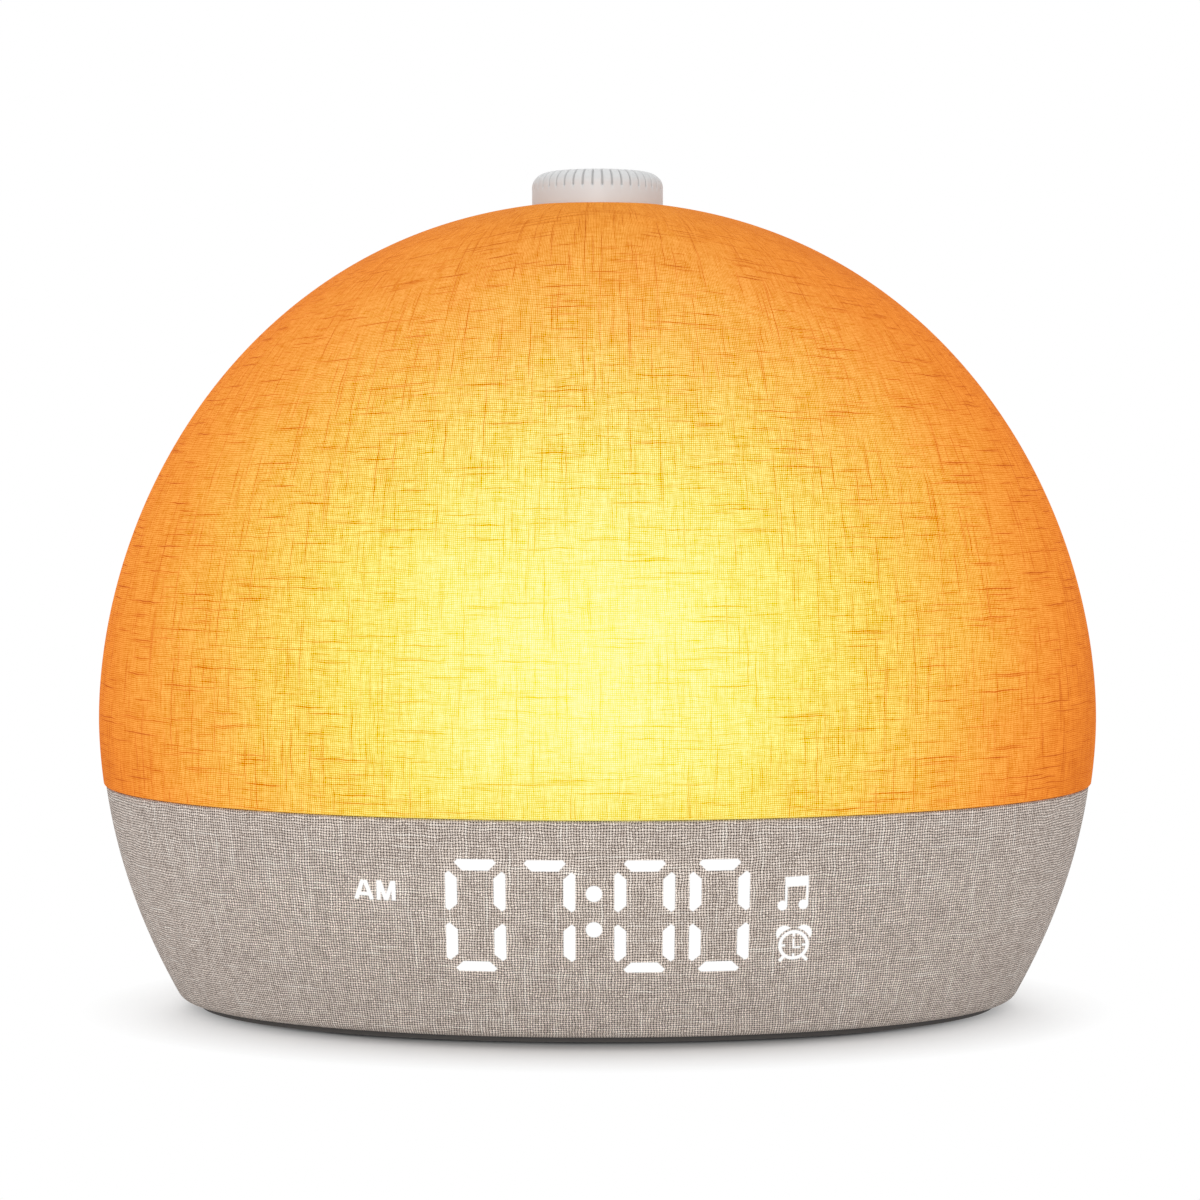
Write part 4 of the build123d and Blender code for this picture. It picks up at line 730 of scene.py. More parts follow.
@dataclass(frozen=True)
class PlainFinish:
    """A moulded, rolled or cast surface with fine grain and a slow change of tone, and painted shade in the
    hollows that a mask marks.
    """

    name: str
    colour: Colour
    roughness: float = 0.5
    metallic: float = 0.0
    grain: float = 0.00025
    relief: float = 0.00001
    tone: float = 0.06
    glow: float = 0.0
    coat: float = 0.0
    stretch: Colour = (1.0, 1.0, 1.0)
    hollows: str = ""
    specular: float = 0.5
    patch: float = 18.0 * MM
    tone_range: tuple[float, float] = (0.3, 0.7)
    rough_swing: float = 0.05
    # how dark the painted shade in the hollows is, as a share of the colour
    hollow_shade: float = 0.62
    bump_strength: float = 0.8

    def material(self, effects: Effects) -> bpy.types.Material:
        """Builds the material."""
        material, graph, shader = new_material(
            self.name, Metallic=self.metallic, Coat_Weight=self.coat, Specular_IOR_Level=self.specular)
        place = graph.add("ShaderNodeMapping")
        graph.feed(place.inputs["Vector"], graph.position())
        place.inputs["Scale"].default_value = self.stretch
        grain = graph.use(effects.grain, Place=place.outputs[0], Size=self.grain, Patch=self.patch).outputs
        darker, lighter = (opaque(scaled(self.colour, 1 + swing)) for swing in (-self.tone, self.tone))
        surface = graph.blend(graph.span(grain["Tone"], *self.tone_range), darker, lighter)
        # painted shade: the colour darkens where the mask marks a hollow, such as the knob's flutes
        if self.hollows:
            depth = graph.add("ShaderNodeAttribute", attribute_name=self.hollows).outputs["Fac"]
            surface = graph.blend(depth, surface, opaque(scaled(self.colour, self.hollow_shade)))
        rough_ends = (self.roughness - self.rough_swing, self.roughness + self.rough_swing)
        graph.feed(shader.inputs["Base Color"], surface)
        graph.feed(shader.inputs["Roughness"], graph.span(grain["Tone"], *self.tone_range, *rough_ends))
        if self.glow > 0:
            graph.feed(shader.inputs["Emission Color"], surface)
            shader.inputs["Emission Strength"].default_value = self.glow
        graph.feed(shader.inputs["Normal"], graph.bump(grain["Height"], self.relief, self.bump_strength))
        return material


@dataclass(frozen=True)
class BoardFinish:
    """Lacquered laminate of a circuit board, with copper tracks under the lacquer."""

    name: str
    colour: Colour
    track: Colour
    cell: float = 2.2 * MM
    track_share: float = 0.06
    second_tone: float = 1.18
    grain: float = 0.6 * MM
    patch: float = 10.0 * MM
    tone_range: tuple[float, float] = (0.3, 0.7)
    darkest: float = 0.92
    roughness: float = 0.35
    lacquer: float = 0.3
    bump_height: float = 0.03 * MM
    bump_strength: float = 0.5

    def material(self, effects: Effects) -> bpy.types.Material:
        """Builds the material."""
        material, graph, shader = new_material(self.name, Roughness=self.roughness, Coat_Weight=self.lacquer)
        bricks = graph.add("ShaderNodeTexBrick")
        graph.feed(bricks.inputs["Vector"], graph.position())
        bricks.inputs["Scale"].default_value = 1.0 / self.cell
        bricks.inputs["Mortar Size"].default_value = self.track_share
        bricks.inputs["Color1"].default_value = opaque(self.colour)
        bricks.inputs["Color2"].default_value = opaque(scaled(self.colour, self.second_tone))
        bricks.inputs["Mortar"].default_value = opaque(self.track)
        grain = graph.use(effects.grain, Place=graph.position(), Size=self.grain, Patch=self.patch).outputs
        tone = graph.span(grain["Tone"], *self.tone_range, self.darkest, 1.0)
        graph.feed(shader.inputs["Base Color"], graph.shaded(bricks.outputs["Color"], graph.grey(tone)))
        relief = graph.bump(bricks.outputs["Fac"], self.bump_height, self.bump_strength)
        graph.feed(shader.inputs["Normal"], relief)
        return material


class Finish(Enum):
    """The finishes of the pieces that keep the frame's own solids, by material slot."""

    knob_plastic = PlainFinish(
        "knob plastic", (0.665, 0.670, 0.672), 0.38, relief=0.000001, tone=0.02, hollows=GROOVE_SHADE_MASK,
        specular=0.32)
    milky_plastic = PlainFinish("milky plastic", (0.80, 0.78, 0.72), 0.45, relief=0.000004, tone=0.03)
    white_plastic = PlainFinish("white plastic", (0.78, 0.78, 0.76), 0.40, relief=0.000004, tone=0.03)
    grey_plastic = PlainFinish("grey plastic", (0.075, 0.068, 0.064), 0.62, relief=0.00002, tone=0.07)
    black_plastic = PlainFinish("black plastic", (0.025, 0.025, 0.026), 0.45, tone=0.10)
    panel_plastic = PlainFinish("panel plastic", (0.235, 0.210, 0.195), 0.58, relief=0.00002, tone=0.05)
    button_plastic = PlainFinish("button plastic", (0.42, 0.385, 0.36), 0.45, relief=0.00001, tone=0.04)
    lit_display = PlainFinish("lit light guides", (0.95, 0.95, 0.93), 0.35, tone=0.02, glow=0.9)
    led_package = PlainFinish("light chips", (0.90, 0.80, 0.35), 0.25, tone=0.05, coat=0.4)
    board_laminate = BoardFinish("green board", (0.012, 0.10, 0.045), (0.02, 0.16, 0.07))
    white_board = BoardFinish("white board", (0.72, 0.72, 0.70), (0.62, 0.62, 0.60), 4.0 * MM)
    steel = PlainFinish(
        "zinc plated steel", (0.56, 0.56, 0.57), 0.32, 1.0, grain=0.0002, tone=0.08, stretch=(1.0, 1.0, 6.0))
    spring_steel = PlainFinish("spring steel", (0.48, 0.48, 0.50), 0.25, 1.0, tone=0.05)
    brass_plated = PlainFinish(
        "plated brass", (0.62, 0.52, 0.32), 0.28, 1.0, tone=0.05, stretch=(1.0, 1.0, 8.0))
    cable_jacket = PlainFinish("cable jacket", (0.018, 0.018, 0.019), 0.5, tone=0.1)
    ribbon_film = PlainFinish("ribbon film", (0.66, 0.62, 0.54), 0.35, tone=0.05, stretch=(9.0, 1.0, 1.0))
    chip_plastic = PlainFinish("chip plastic", (0.02, 0.02, 0.022), 0.55, relief=0.00002, tone=0.15)
    magnet_metal = PlainFinish("dark plated magnet", (0.05, 0.05, 0.055), 0.35, 0.8, tone=0.08)
    cone_paper = PlainFinish("coated cone", (0.03, 0.03, 0.03), 0.7, grain=0.0008, relief=0.00004, tone=0.15)
    foam = PlainFinish("closed foam", (0.03, 0.03, 0.03), 0.95, grain=0.0004, relief=0.00006, tone=0.2)
    foot_rubber = PlainFinish("foot rubber", (0.03, 0.029, 0.028), 0.8, relief=0.00002, tone=0.1)


AnyFinish = Finish | GlowingCloth | LinenCloth


class FinishShelf:
    """Makes each finish once and hands it out."""

    def __init__(self, effects: Effects) -> None:
        """Starts with no material made."""
        self.effects = effects
        self.made: dict[str, bpy.types.Material] = {}

    def take(self, finish: AnyFinish) -> bpy.types.Material:
        """Gives the material of a finish, building it at its first use."""
        recipe = finish.value if isinstance(finish, Enum) else finish
        if recipe.name not in self.made:
            self.made[recipe.name] = recipe.material(self.effects)
        return self.made[recipe.name]

    def dress(self, piece: bpy.types.Object, finish: AnyFinish) -> None:
        """Gives a piece one finish in place of whatever it had."""
        material = self.take(finish)
        if not piece.data.materials:
            piece.data.materials.append(material)
        for place in piece.material_slots:
            place.link = "OBJECT"
            place.material = material


# ------------------------------------------------------------------ light dome
@dataclass
class LightDome:
    """The dome's cloth: a fine skin from the seam up to the knob's well, turned in at both edges."""

    form: BodyForm
    thickness: float = 0.8 * MM
    hem_lift: float = 0.08 * MM
    edge_round: float = 0.3 * MM
    well_radius: float = 13.5 * MM
    well_round: float = 0.55 * MM
    well_drop_z: float = 157.7 * MM
    columns: int = 320
    face_rows: int = 150
    lining_rows: int = 24
    lining_clear: float = 0.2 * MM
    turn_rows: int = 5
    first_bend: float = 0.25
    bevel_share: float = 0.3
    gather: float = 0.25
    rise_tries: int = 50
    crest_gap: float = 0.001 * MM

    def _rise(self, angles: Array, radius: float, inset: float) -> Array:
        """Height at which the dome has narrowed to a radius, along each angle."""
        low = np.full(angles.shape, self.form.widest_z)
        high = np.full(angles.shape, self.form.crest_z - inset - self.crest_gap)
        for _ in range(self.rise_tries):
            middle = (low + high) / 2
            half_width, half_depth = self.form.dome_section(middle, inset)
            wide = np.hypot(half_width * np.sin(angles), half_depth * np.cos(angles)) > radius
            low, high = np.where(wide, middle, low), np.where(wide, high, middle)
        return low

    def _climb(self, angles: Array, low_z: float, top_z: Array, count: int, inset: float) -> list[Array]:
        """Rows of the dome's layer from a low level up to the given tops."""
        height = self.form.crest_z - self.form.widest_z - inset
        first = math.asin((low_z - self.form.widest_z) / height)
        last = np.arcsin((top_z - self.form.widest_z) / height)
        rows = []
        for share in np.linspace(0.0, 1.0, count):
            z = self.form.widest_z + height * np.sin(first + (last - first) * share)
            rows.append(ring_points(*self.form.dome_section(z, inset), z, angles))
        return rows

    @staticmethod
    def _well_row(row: Array, radius: float, drop: float) -> Array:
        """A row moved onto a circle around the knob and lowered."""
        reach = np.linalg.norm(row[:, :2], axis=1, keepdims=True)
        return np.concatenate([row[:, :2] / reach * radius, row[:, 2:] - drop], axis=1)

    def build(self, shelf: FinishShelf) -> bpy.types.Object:
        """Builds and dresses the dome's cloth."""
        angles = np.linspace(-math.pi, math.pi, self.columns, endpoint=False)
        low_z = self.form.seam_z + self.hem_lift
        top_z = self._rise(angles, self.well_radius + self.well_round, 0.0)
        face = self._climb(angles, low_z + self.edge_round, top_z, self.face_rows, 0.0)
        turn = [
            self._well_row(face[-1], self.well_radius + self.well_round * (1 - math.sin(bend)),
                           self.well_round * (1 - math.cos(bend)))
            for bend in np.linspace(self.first_bend, math.pi / 2, self.turn_rows)
        ]
        rim = turn[-1][:, :2]
        rim_z = np.full((self.columns, 1), self.well_drop_z)
        drop = [np.concatenate([rim, rim_z], axis=1)]
        outer = self.well_radius + self.thickness
        back = [np.concatenate([rim * outer / self.well_radius, rim_z], axis=1)]
        lining_top = self._rise(angles, outer + self.lining_clear, self.thickness)
        lining_low = low_z + self.edge_round
        lining = self._climb(angles, lining_low, lining_top, self.lining_rows, self.thickness)[::-1]
        bevel = self.edge_round * self.bevel_share
        hem = ((self.thickness - self.edge_round, low_z), (self.edge_round, low_z), (bevel, low_z + bevel))
        hem_low = [ring_points(*self.form.dome_section(low_z, inset), z, angles) for inset, z in hem]
        skin = Skin(face + turn + drop + back + lining + hem_low)
        piece = skin.build("dome_cloth", shrink=self.gather)
        shelf.dress(piece, GlowingCloth())
        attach(piece, ROOT_BODY)
        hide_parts("dome_fabric")
        return piece


# ------------------------------------------------------------------ lit marks of the display
class Mark:
    """Signed distances, in display millimetres, to the plain shapes that the lit marks are made of."""

    @staticmethod
    def disc(x: Array, y: Array, centre: Spot, radius: float) -> Array:
        """Distance to a disc."""
        return np.hypot(x - centre[0], y - centre[1]) - radius

    @staticmethod
    def stroke(x: Array, y: Array, start: Spot, end: Spot, width: float) -> Array:
        """Distance to a straight stroke with square ends."""
        middle = ((start[0] + end[0]) / 2, (start[1] + end[1]) / 2)
        along = (end[0] - start[0], end[1] - start[1])
        length = math.hypot(*along)
        px = ((x - middle[0]) * along[0] + (y - middle[1]) * along[1]) / length
        py = ((y - middle[1]) * along[0] - (x - middle[0]) * along[1]) / length
        return np.maximum(np.abs(px) - length / 2, np.abs(py) - width / 2)

    @staticmethod
    def ring(x: Array, y: Array, centre: Spot, radius: float, width: float) -> Array:
        """Distance to a ring of a width inside a radius."""
        return np.abs(np.hypot(x - centre[0], y - centre[1]) - radius + width / 2) - width / 2

    @staticmethod
    def pointed(
        x: Array, y: Array, length: float, width: float, tip: float, cuts: tuple[float, float],
    ) -> Array:
        """Distance to a display segment with pointed ends.

        Args:
            x: distance along the segment.
            y: distance across it, positive towards its outer edge.
            length: length from point to point.
            width: width of the segment.
            tip: how far the points lie from its middle line, towards the outer edge.
            cuts: how much shorter each end of the outer edge and of the inner edge is.

        Returns:
            Distance to the segment's outline, negative inside.
        """
        found = np.abs(y) - width / 2
        for side, cut in zip((1, -1), cuts):
            depth = width / 2 - side * tip
            edge = (np.abs(x) - length / 2 + side * (y - tip) / depth * cut) / math.hypot(1.0, cut / depth)
            found = np.maximum(found, edge)
        return found


@dataclass(frozen=True)
class Display:
    """The lit marks, laid out in millimetres across and up the wall from the display's middle."""

    middle_z: float = 27.3 * MM
    digit_width: float = 11.15
    digit_height: float = 23.2
    segment: float = 2.2
    cross_length: float = 7.7
    upright_length: float = 8.0
    upright_centre: float = 5.25
    segment_tip: float = 0.42
    segment_cuts: tuple[float, float] = (0.55, 1.40)
    digits: tuple[tuple[str, float], ...] = (("0", -22.4), ("7", -9.6), ("0", 8.7), ("0", 22.5))
    colon: tuple[Spot, ...] = ((-0.6, 5.0), (-0.6, -2.35))
    colon_radius: float = 1.52
    colon_stretch: float = 1.06
    letter_low: float = 2.60
    letter_high: float = 6.20
    letter_bold: float = 0.78
    crossbar: tuple[float, float] = (-44.2, -42.3)
    crossbar_rise: float = 1.05
    crossbar_bold: float = 0.66
    note_heads: tuple[Spot, ...] = ((34.20, 1.80), (38.12, 1.88))
    note_head_radius: float = 0.92
    note_stems: tuple[tuple[float, float, float], ...] = ((34.88, 1.9, 7.05), (38.80, 2.0, 7.18))
    note_stem_bold: float = 0.46
    note_beam: tuple[Spot, Spot] = ((34.65, 6.10), (39.03, 6.25))
    note_beam_bold: float = 1.80
    alarm_centre: Spot = (36.52, -5.85)
    alarm_radius: float = 2.90
    alarm_ring: float = 0.64
    alarm_hand: float = 0.36
    alarm_tick: tuple[float, float] = (1.62, 2.5)
    alarm_tick_bold: float = 0.46
    alarm_clear: float = 3.30
    bell_place: Spot = (1.84, 2.30)
    bell_radius: float = 1.54
    sign_stretch: float = 1.1
    far: float = 12.0

    SEGMENTS: ClassVar[dict[str, str]] = {
        "0": "top bottom upper_left upper_right lower_left lower_right", "7": "top upper_right lower_right",
    }
    CROSSES: ClassVar[dict[str, int]] = {"top": 1, "bottom": -1}
    UPRIGHTS: ClassVar[dict[str, tuple[int, int]]] = {
        "upper_left": (-1, 1), "upper_right": (1, 1), "lower_left": (-1, -1), "lower_right": (1, -1),
    }

    def _digits(self, x: Array, y: Array) -> list[Array]:
        """Distances to the digits' segments and the colon."""
        side = self.digit_width / 2 - self.segment / 2
        end = self.digit_height / 2 - self.segment / 2
        shape = (self.segment, self.segment_tip, self.segment_cuts)
        found = []
        for digit, centre in self.digits:
            dx = x - centre
            for name in self.SEGMENTS[digit].split():
                if name in self.CROSSES:
                    found.append(Mark.pointed(dx, self.CROSSES[name] * y - end, self.cross_length, *shape))
                else:
                    across, rise = self.UPRIGHTS[name]
                    along = y - rise * self.upright_centre
                    found.append(Mark.pointed(along, across * dx - side, self.upright_length, *shape))
        stretch = self.colon_stretch
        found += [Mark.disc(x, y / stretch, (cx, cy / stretch), self.colon_radius) for cx, cy in self.colon]
        return found

    def _letters(self, x: Array, y: Array) -> list[Array]:
        """Distances to the letters for the morning, each line a stroke."""
        low, high = self.letter_low, self.letter_high
        # two strokes of the A, then the uprights and the slopes of the M
        lines = [
            ((-44.72, low), (-43.42, high)), ((-41.72, low), (-43.02, high)),
            ((-40.45, low), (-40.45, high)), ((-37.62, low), (-37.62, high)),
            ((-40.30, high), (-39.04, low)), ((-37.78, high), (-39.04, low)),
        ]
        found = [Mark.stroke(x, y, start, end, self.letter_bold) for start, end in lines]
        start, end = ((place, low + self.crossbar_rise) for place in self.crossbar)
        found.append(Mark.stroke(x, y, start, end, self.crossbar_bold))
        keep = np.maximum(y - high, low - y)
        return [np.maximum(line, keep) for line in found]

    def _note(self, x: Array, y: Array) -> list[Array]:
        """Distances to the note sign: two heads, two stems and a beam."""
        heads = [Mark.disc(x, y, place, self.note_head_radius) for place in self.note_heads]
        stems = [
            Mark.stroke(x, y, (across, low), (across, high), self.note_stem_bold)
            for across, low, high in self.note_stems
        ]
        return [*heads, *stems, Mark.stroke(x, y, *self.note_beam, self.note_beam_bold)]

    def _bell_clock(self, x: Array, y: Array) -> list[Array]:
        """Distances to the alarm sign: a ringed dial with hands and marks, two bells and two feet."""
        cx, cy = self.alarm_centre
        found = [
            Mark.ring(x, y, (cx, cy), self.alarm_radius, self.alarm_ring),
            Mark.stroke(x, y, (cx - 0.02, cy - 0.62), (cx - 0.02, cy + 1.25), self.alarm_hand),
            Mark.stroke(x, y, (cx - 0.2, cy - 0.46), (cx + 1.3, cy - 0.46), self.alarm_hand),
        ]
        for turn in range(4):
            way = (math.sin(turn * math.pi / 2), math.cos(turn * math.pi / 2))
            start, end = ((cx + way[0] * reach, cy + way[1] * reach) for reach in self.alarm_tick)
            found.append(Mark.stroke(x, y, start, end, self.alarm_tick_bold))
        clear = self.alarm_clear - np.hypot(x - cx, y - cy)
        for side in (-1, 1):
            middle = (cx + side * self.bell_place[0], cy + self.bell_place[1])
            bell = Mark.disc(x, y, middle, self.bell_radius)
            foot = ((cx + side * 1.75, cy - 2.15), (cx + side * 2.62, cy - 3.10))
            found += [np.maximum(bell, clear), Mark.stroke(x, y, *foot, self.alarm_ring)]
        return found

    def nearness(self, x: Array, rise: Array) -> Array:
        """How near points lie to a lit mark.

        Args:
            x: metres across the clock.
            rise: metres up the wall from the display's middle.

        Returns:
            Zero at the far limit and beyond, growing by one for each millimetre towards the mark and into it.
        """
        across, up = x / MM, rise / MM
        squat = up / self.sign_stretch
        found = self._digits(across, up)
        for sign in (self._letters, self._note, self._bell_clock):
            found += sign(across, squat)
        return np.maximum(self.far - np.min(np.stack(found), axis=0), 0.0)


# ------------------------------------------------------------------ clock base
@dataclass
class ClockBase:
    """The base's linen: a skin from the seam down the wall, round the lower edge and in under the cover."""

    form: BodyForm
    display: Display
    thickness: float = 0.8 * MM
    seam_drop: float = 0.08 * MM
    edge_round: float = 0.3 * MM
    hem_reach: float = 6.0 * MM
    panel_z: float = 24.0 * MM
    panel_size: tuple[float, float] = (76.6 * MM, 18.6 * MM)
    panel_corner: float = 5.3 * MM
    lit_low_z: float = 15.6 * MM
    lit_high_z: float = 39.4 * MM
    digit_step: float = 0.16 * MM
    sign_step: float = 0.12 * MM
    row_step: float = 0.14 * MM
    plain_step: float = 2.2 * MM
    plain_share: float = 0.75
    gap_step: float = 0.8 * MM
    display_inset: float = 5.3 * MM
    letters_span: tuple[float, float] = (-47.6 * MM, -36.6 * MM)
    digits_span: tuple[float, float] = (-29.6 * MM, 29.6 * MM)
    signs_span: tuple[float, float] = (32.6 * MM, 42.8 * MM)
    top_rows: int = 6
    low_rows: int = 12
    turn_rows: int = 9
    lining_rows: int = 10
    lining_start: float = 0.4
    bevel_share: float = 0.3
    turn_slope: float = 1.92
    window_steps: int = 10
    window_reach: float = 30.0 * MM

    def _columns(self) -> Array:
        """Angles of the columns, dense in front of the display's marks."""
        reach = self.form.half_width - self.display_inset
        ends = (*self.letters_span, *self.digits_span, *self.signs_span)
        steps = (self.sign_step, self.gap_step, self.digit_step, self.gap_step, self.sign_step)
        front = []
        for start, end, step in zip(ends, ends[1:], steps):
            first, last = (math.asin(value / reach) for value in (start, end))
            count = max(2, round((last - first) * reach / step))
            front.append(np.linspace(first, last, count, endpoint=False))
        first, last = front[0][0], math.asin(ends[-1] / reach)
        plain_run = (2 * math.pi - (last - first)) * self.form.half_width * self.plain_share
        rest = round(plain_run / self.plain_step)
        around = np.linspace(last, first + 2 * math.pi, rest, endpoint=False)
        angles = np.concatenate([*front, around])
        angles = np.where(angles > math.pi, angles - 2 * math.pi, angles)
        return np.sort(angles)

    def _face_heights(self) -> Array:
        """Heights of the outer rows, from the seam down to where the lower edge turns in."""
        top_z = self.form.seam_z - self.seam_drop - self.edge_round
        lit_rows = round((self.lit_high_z - self.lit_low_z) / self.row_step)
        top = np.linspace(top_z, self.lit_high_z, self.top_rows, endpoint=False)
        lit = np.linspace(self.lit_high_z, self.lit_low_z, lit_rows, endpoint=False)
        low = np.linspace(self.lit_low_z, self._turn_z(), self.low_rows)
        return np.concatenate([top, lit, low])

    def _lean(self) -> float:
        """Lean of the wall from upright where the lower edge starts to turn in."""
        draw_in = self.form.straight_taper + self.turn_slope * self.form.curved_taper
        return math.atan(draw_in / (self.form.seam_z - self.form.hem_z))

    def _turn_z(self) -> float:
        """Height where the lower edge starts to turn in."""
        return self.form.hem_z + self.form.hem_radius * (1 - math.sin(self._lean()))

    def _row(self, inset: float, z: float, angles: Array) -> Array:
        """A row whose section is the seam's, drawn in by an inset."""
        half_width, half_depth = self.form.base_seam()
        return ring_points(half_width - inset, half_depth - inset, z, angles)

    def _face_inset(self, z: float) -> float:
        """How far the cloth's face lies inside the seam's section at a height."""
        return float(self.form.base_taper(z))

    def _turned_edge(self, radius: float, angles: Array) -> list[Array]:
        """Rows around the lower edge.

        Args:
            radius: radius of the edge on this side of the cloth.
            angles: the columns.

        Returns:
            The rows, from the wall to the flat hem.
        """
        lean = self._lean()
        centre_z = self.form.hem_z + self.form.hem_radius
        centre = self._face_inset(self._turn_z()) + self.form.hem_radius * math.cos(lean)
        rows = []
        for bend in np.linspace(lean, math.pi / 2, self.turn_rows)[1:]:
            inset, z = centre - radius * math.cos(bend), centre_z - radius * math.sin(bend)
            rows.append(self._row(inset, z, angles))
        return rows

    def build(self, shelf: FinishShelf) -> bpy.types.Object:
        """Builds and dresses the base's linen, with its window for the rear panel."""
        angles = self._columns()
        heights = self._face_heights()
        face = [self._row(self._face_inset(z), float(z), angles) for z in heights]
        edge = self._turned_edge(self.form.hem_radius, angles)
        hem_inset = self._face_inset(self.form.hem_z) + self.hem_reach
        hem = [self._row(hem_inset, self.form.hem_z + lift, angles) for lift in (0.0, self.thickness)]
        inner_edge = self._turned_edge(self.form.hem_radius - self.thickness, angles)[::-1]
        lining_low = self._turn_z() + self.thickness * self.lining_start
        lining = [
            self._row(self._face_inset(z) + self.thickness, float(z), angles)
            for z in np.linspace(lining_low, heights[0], self.lining_rows)
        ]
        top_z = self.form.seam_z - self.seam_drop
        bevel = self.edge_round * self.bevel_share
        brim = ((self.thickness - self.edge_round, top_z), (self.edge_round, top_z), (bevel, top_z - bevel))
        top = [self._row(self._face_inset(top_z) + inset, z, angles) for inset, z in brim]
        rows = face + edge + hem + inner_edge + lining + top
        points = np.stack(rows)
        middle = float(self.form.wall_rise(self.display.middle_z))
        near = np.zeros(points.shape[:2])
        front = points[: len(face)]
        nearest = self.display.nearness(front[:, :, 0], self.form.wall_rise(front[:, :, 2]) - middle)
        near[: len(face)] = np.where(front[:, :, 1] < 0, nearest, 0.0)
        piece = Skin(rows, {MARK_NEAR: near}).build("base_cloth", shrink=0.0)
        self._cut_window(piece)
        shelf.dress(piece, LinenCloth())
        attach(piece, ROOT_BODY)
        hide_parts("base_fabric")
        return piece

    def rear_plane(self) -> Matrix:
        """Placement of the rear panel: its own X runs to -X, its own Z out of the wall."""
        step = 0.5 * MM
        drop = self._face_inset(self.panel_z - step) - self._face_inset(self.panel_z + step)
        lean = math.atan(drop / (2 * step))
        depth = self.form.base_seam()[1] - self._face_inset(self.panel_z)
        out = Vector((0.0, math.cos(lean), -math.sin(lean)))
        right = Vector((-1.0, 0.0, 0.0))
        up = out.cross(right)
        turn = Matrix((right, up, out)).transposed().to_4x4()
        return Matrix.Translation((0.0, depth, self.panel_z)) @ turn

    def _cut_window(self, piece: bpy.types.Object) -> None:
        """Cuts the rounded window for the rear panel through the linen."""
        outline = rounded_rectangle(*self.panel_size, self.panel_corner, self.window_steps)
        cutter = prism("window_cutter", outline, self.window_reach, -self.window_reach)
        cutter.matrix_world = self.rear_plane()
        cut = piece.modifiers.new("window", "BOOLEAN")
        cut.operation = "DIFFERENCE"
        cut.solver = "EXACT"
        cut.object = cutter
        bpy.context.view_layer.update()
        applied(piece)
        bpy.data.objects.remove(cutter)


def rounded_rectangle(width: float, height: float, corner: float, steps: int) -> list[Spot]:
    """Outline of a rectangle with round corners, counter-clockwise."""
    outline = []
    for quarter, (sx, sy) in enumerate(((1, 1), (-1, 1), (-1, -1), (1, -1))):
        for step in range(steps + 1):
            angle = (quarter + step / steps) * math.pi / 2
            outline.append((
                sx * (width / 2 - corner) + corner * math.cos(angle),
                sy * (height / 2 - corner) + corner * math.sin(angle),
            ))
    return outline


def prism(name: str, outline: Sequence[Spot], high: float, low: float) -> bpy.types.Object:
    """A closed prism over an outline, between two heights."""
    count = len(outline)
    points = [(x, y, low) for x, y in outline] + [(x, y, high) for x, y in outline]
    sides = [(i, (i + 1) % count, (i + 1) % count + count, i + count) for i in range(count)]
    mesh = bpy.data.meshes.new(name)
    mesh.from_pydata(points, [], [list(range(count))[::-1], list(range(count, 2 * count)), *sides])
    mesh.update()
    return link_piece(name, mesh)


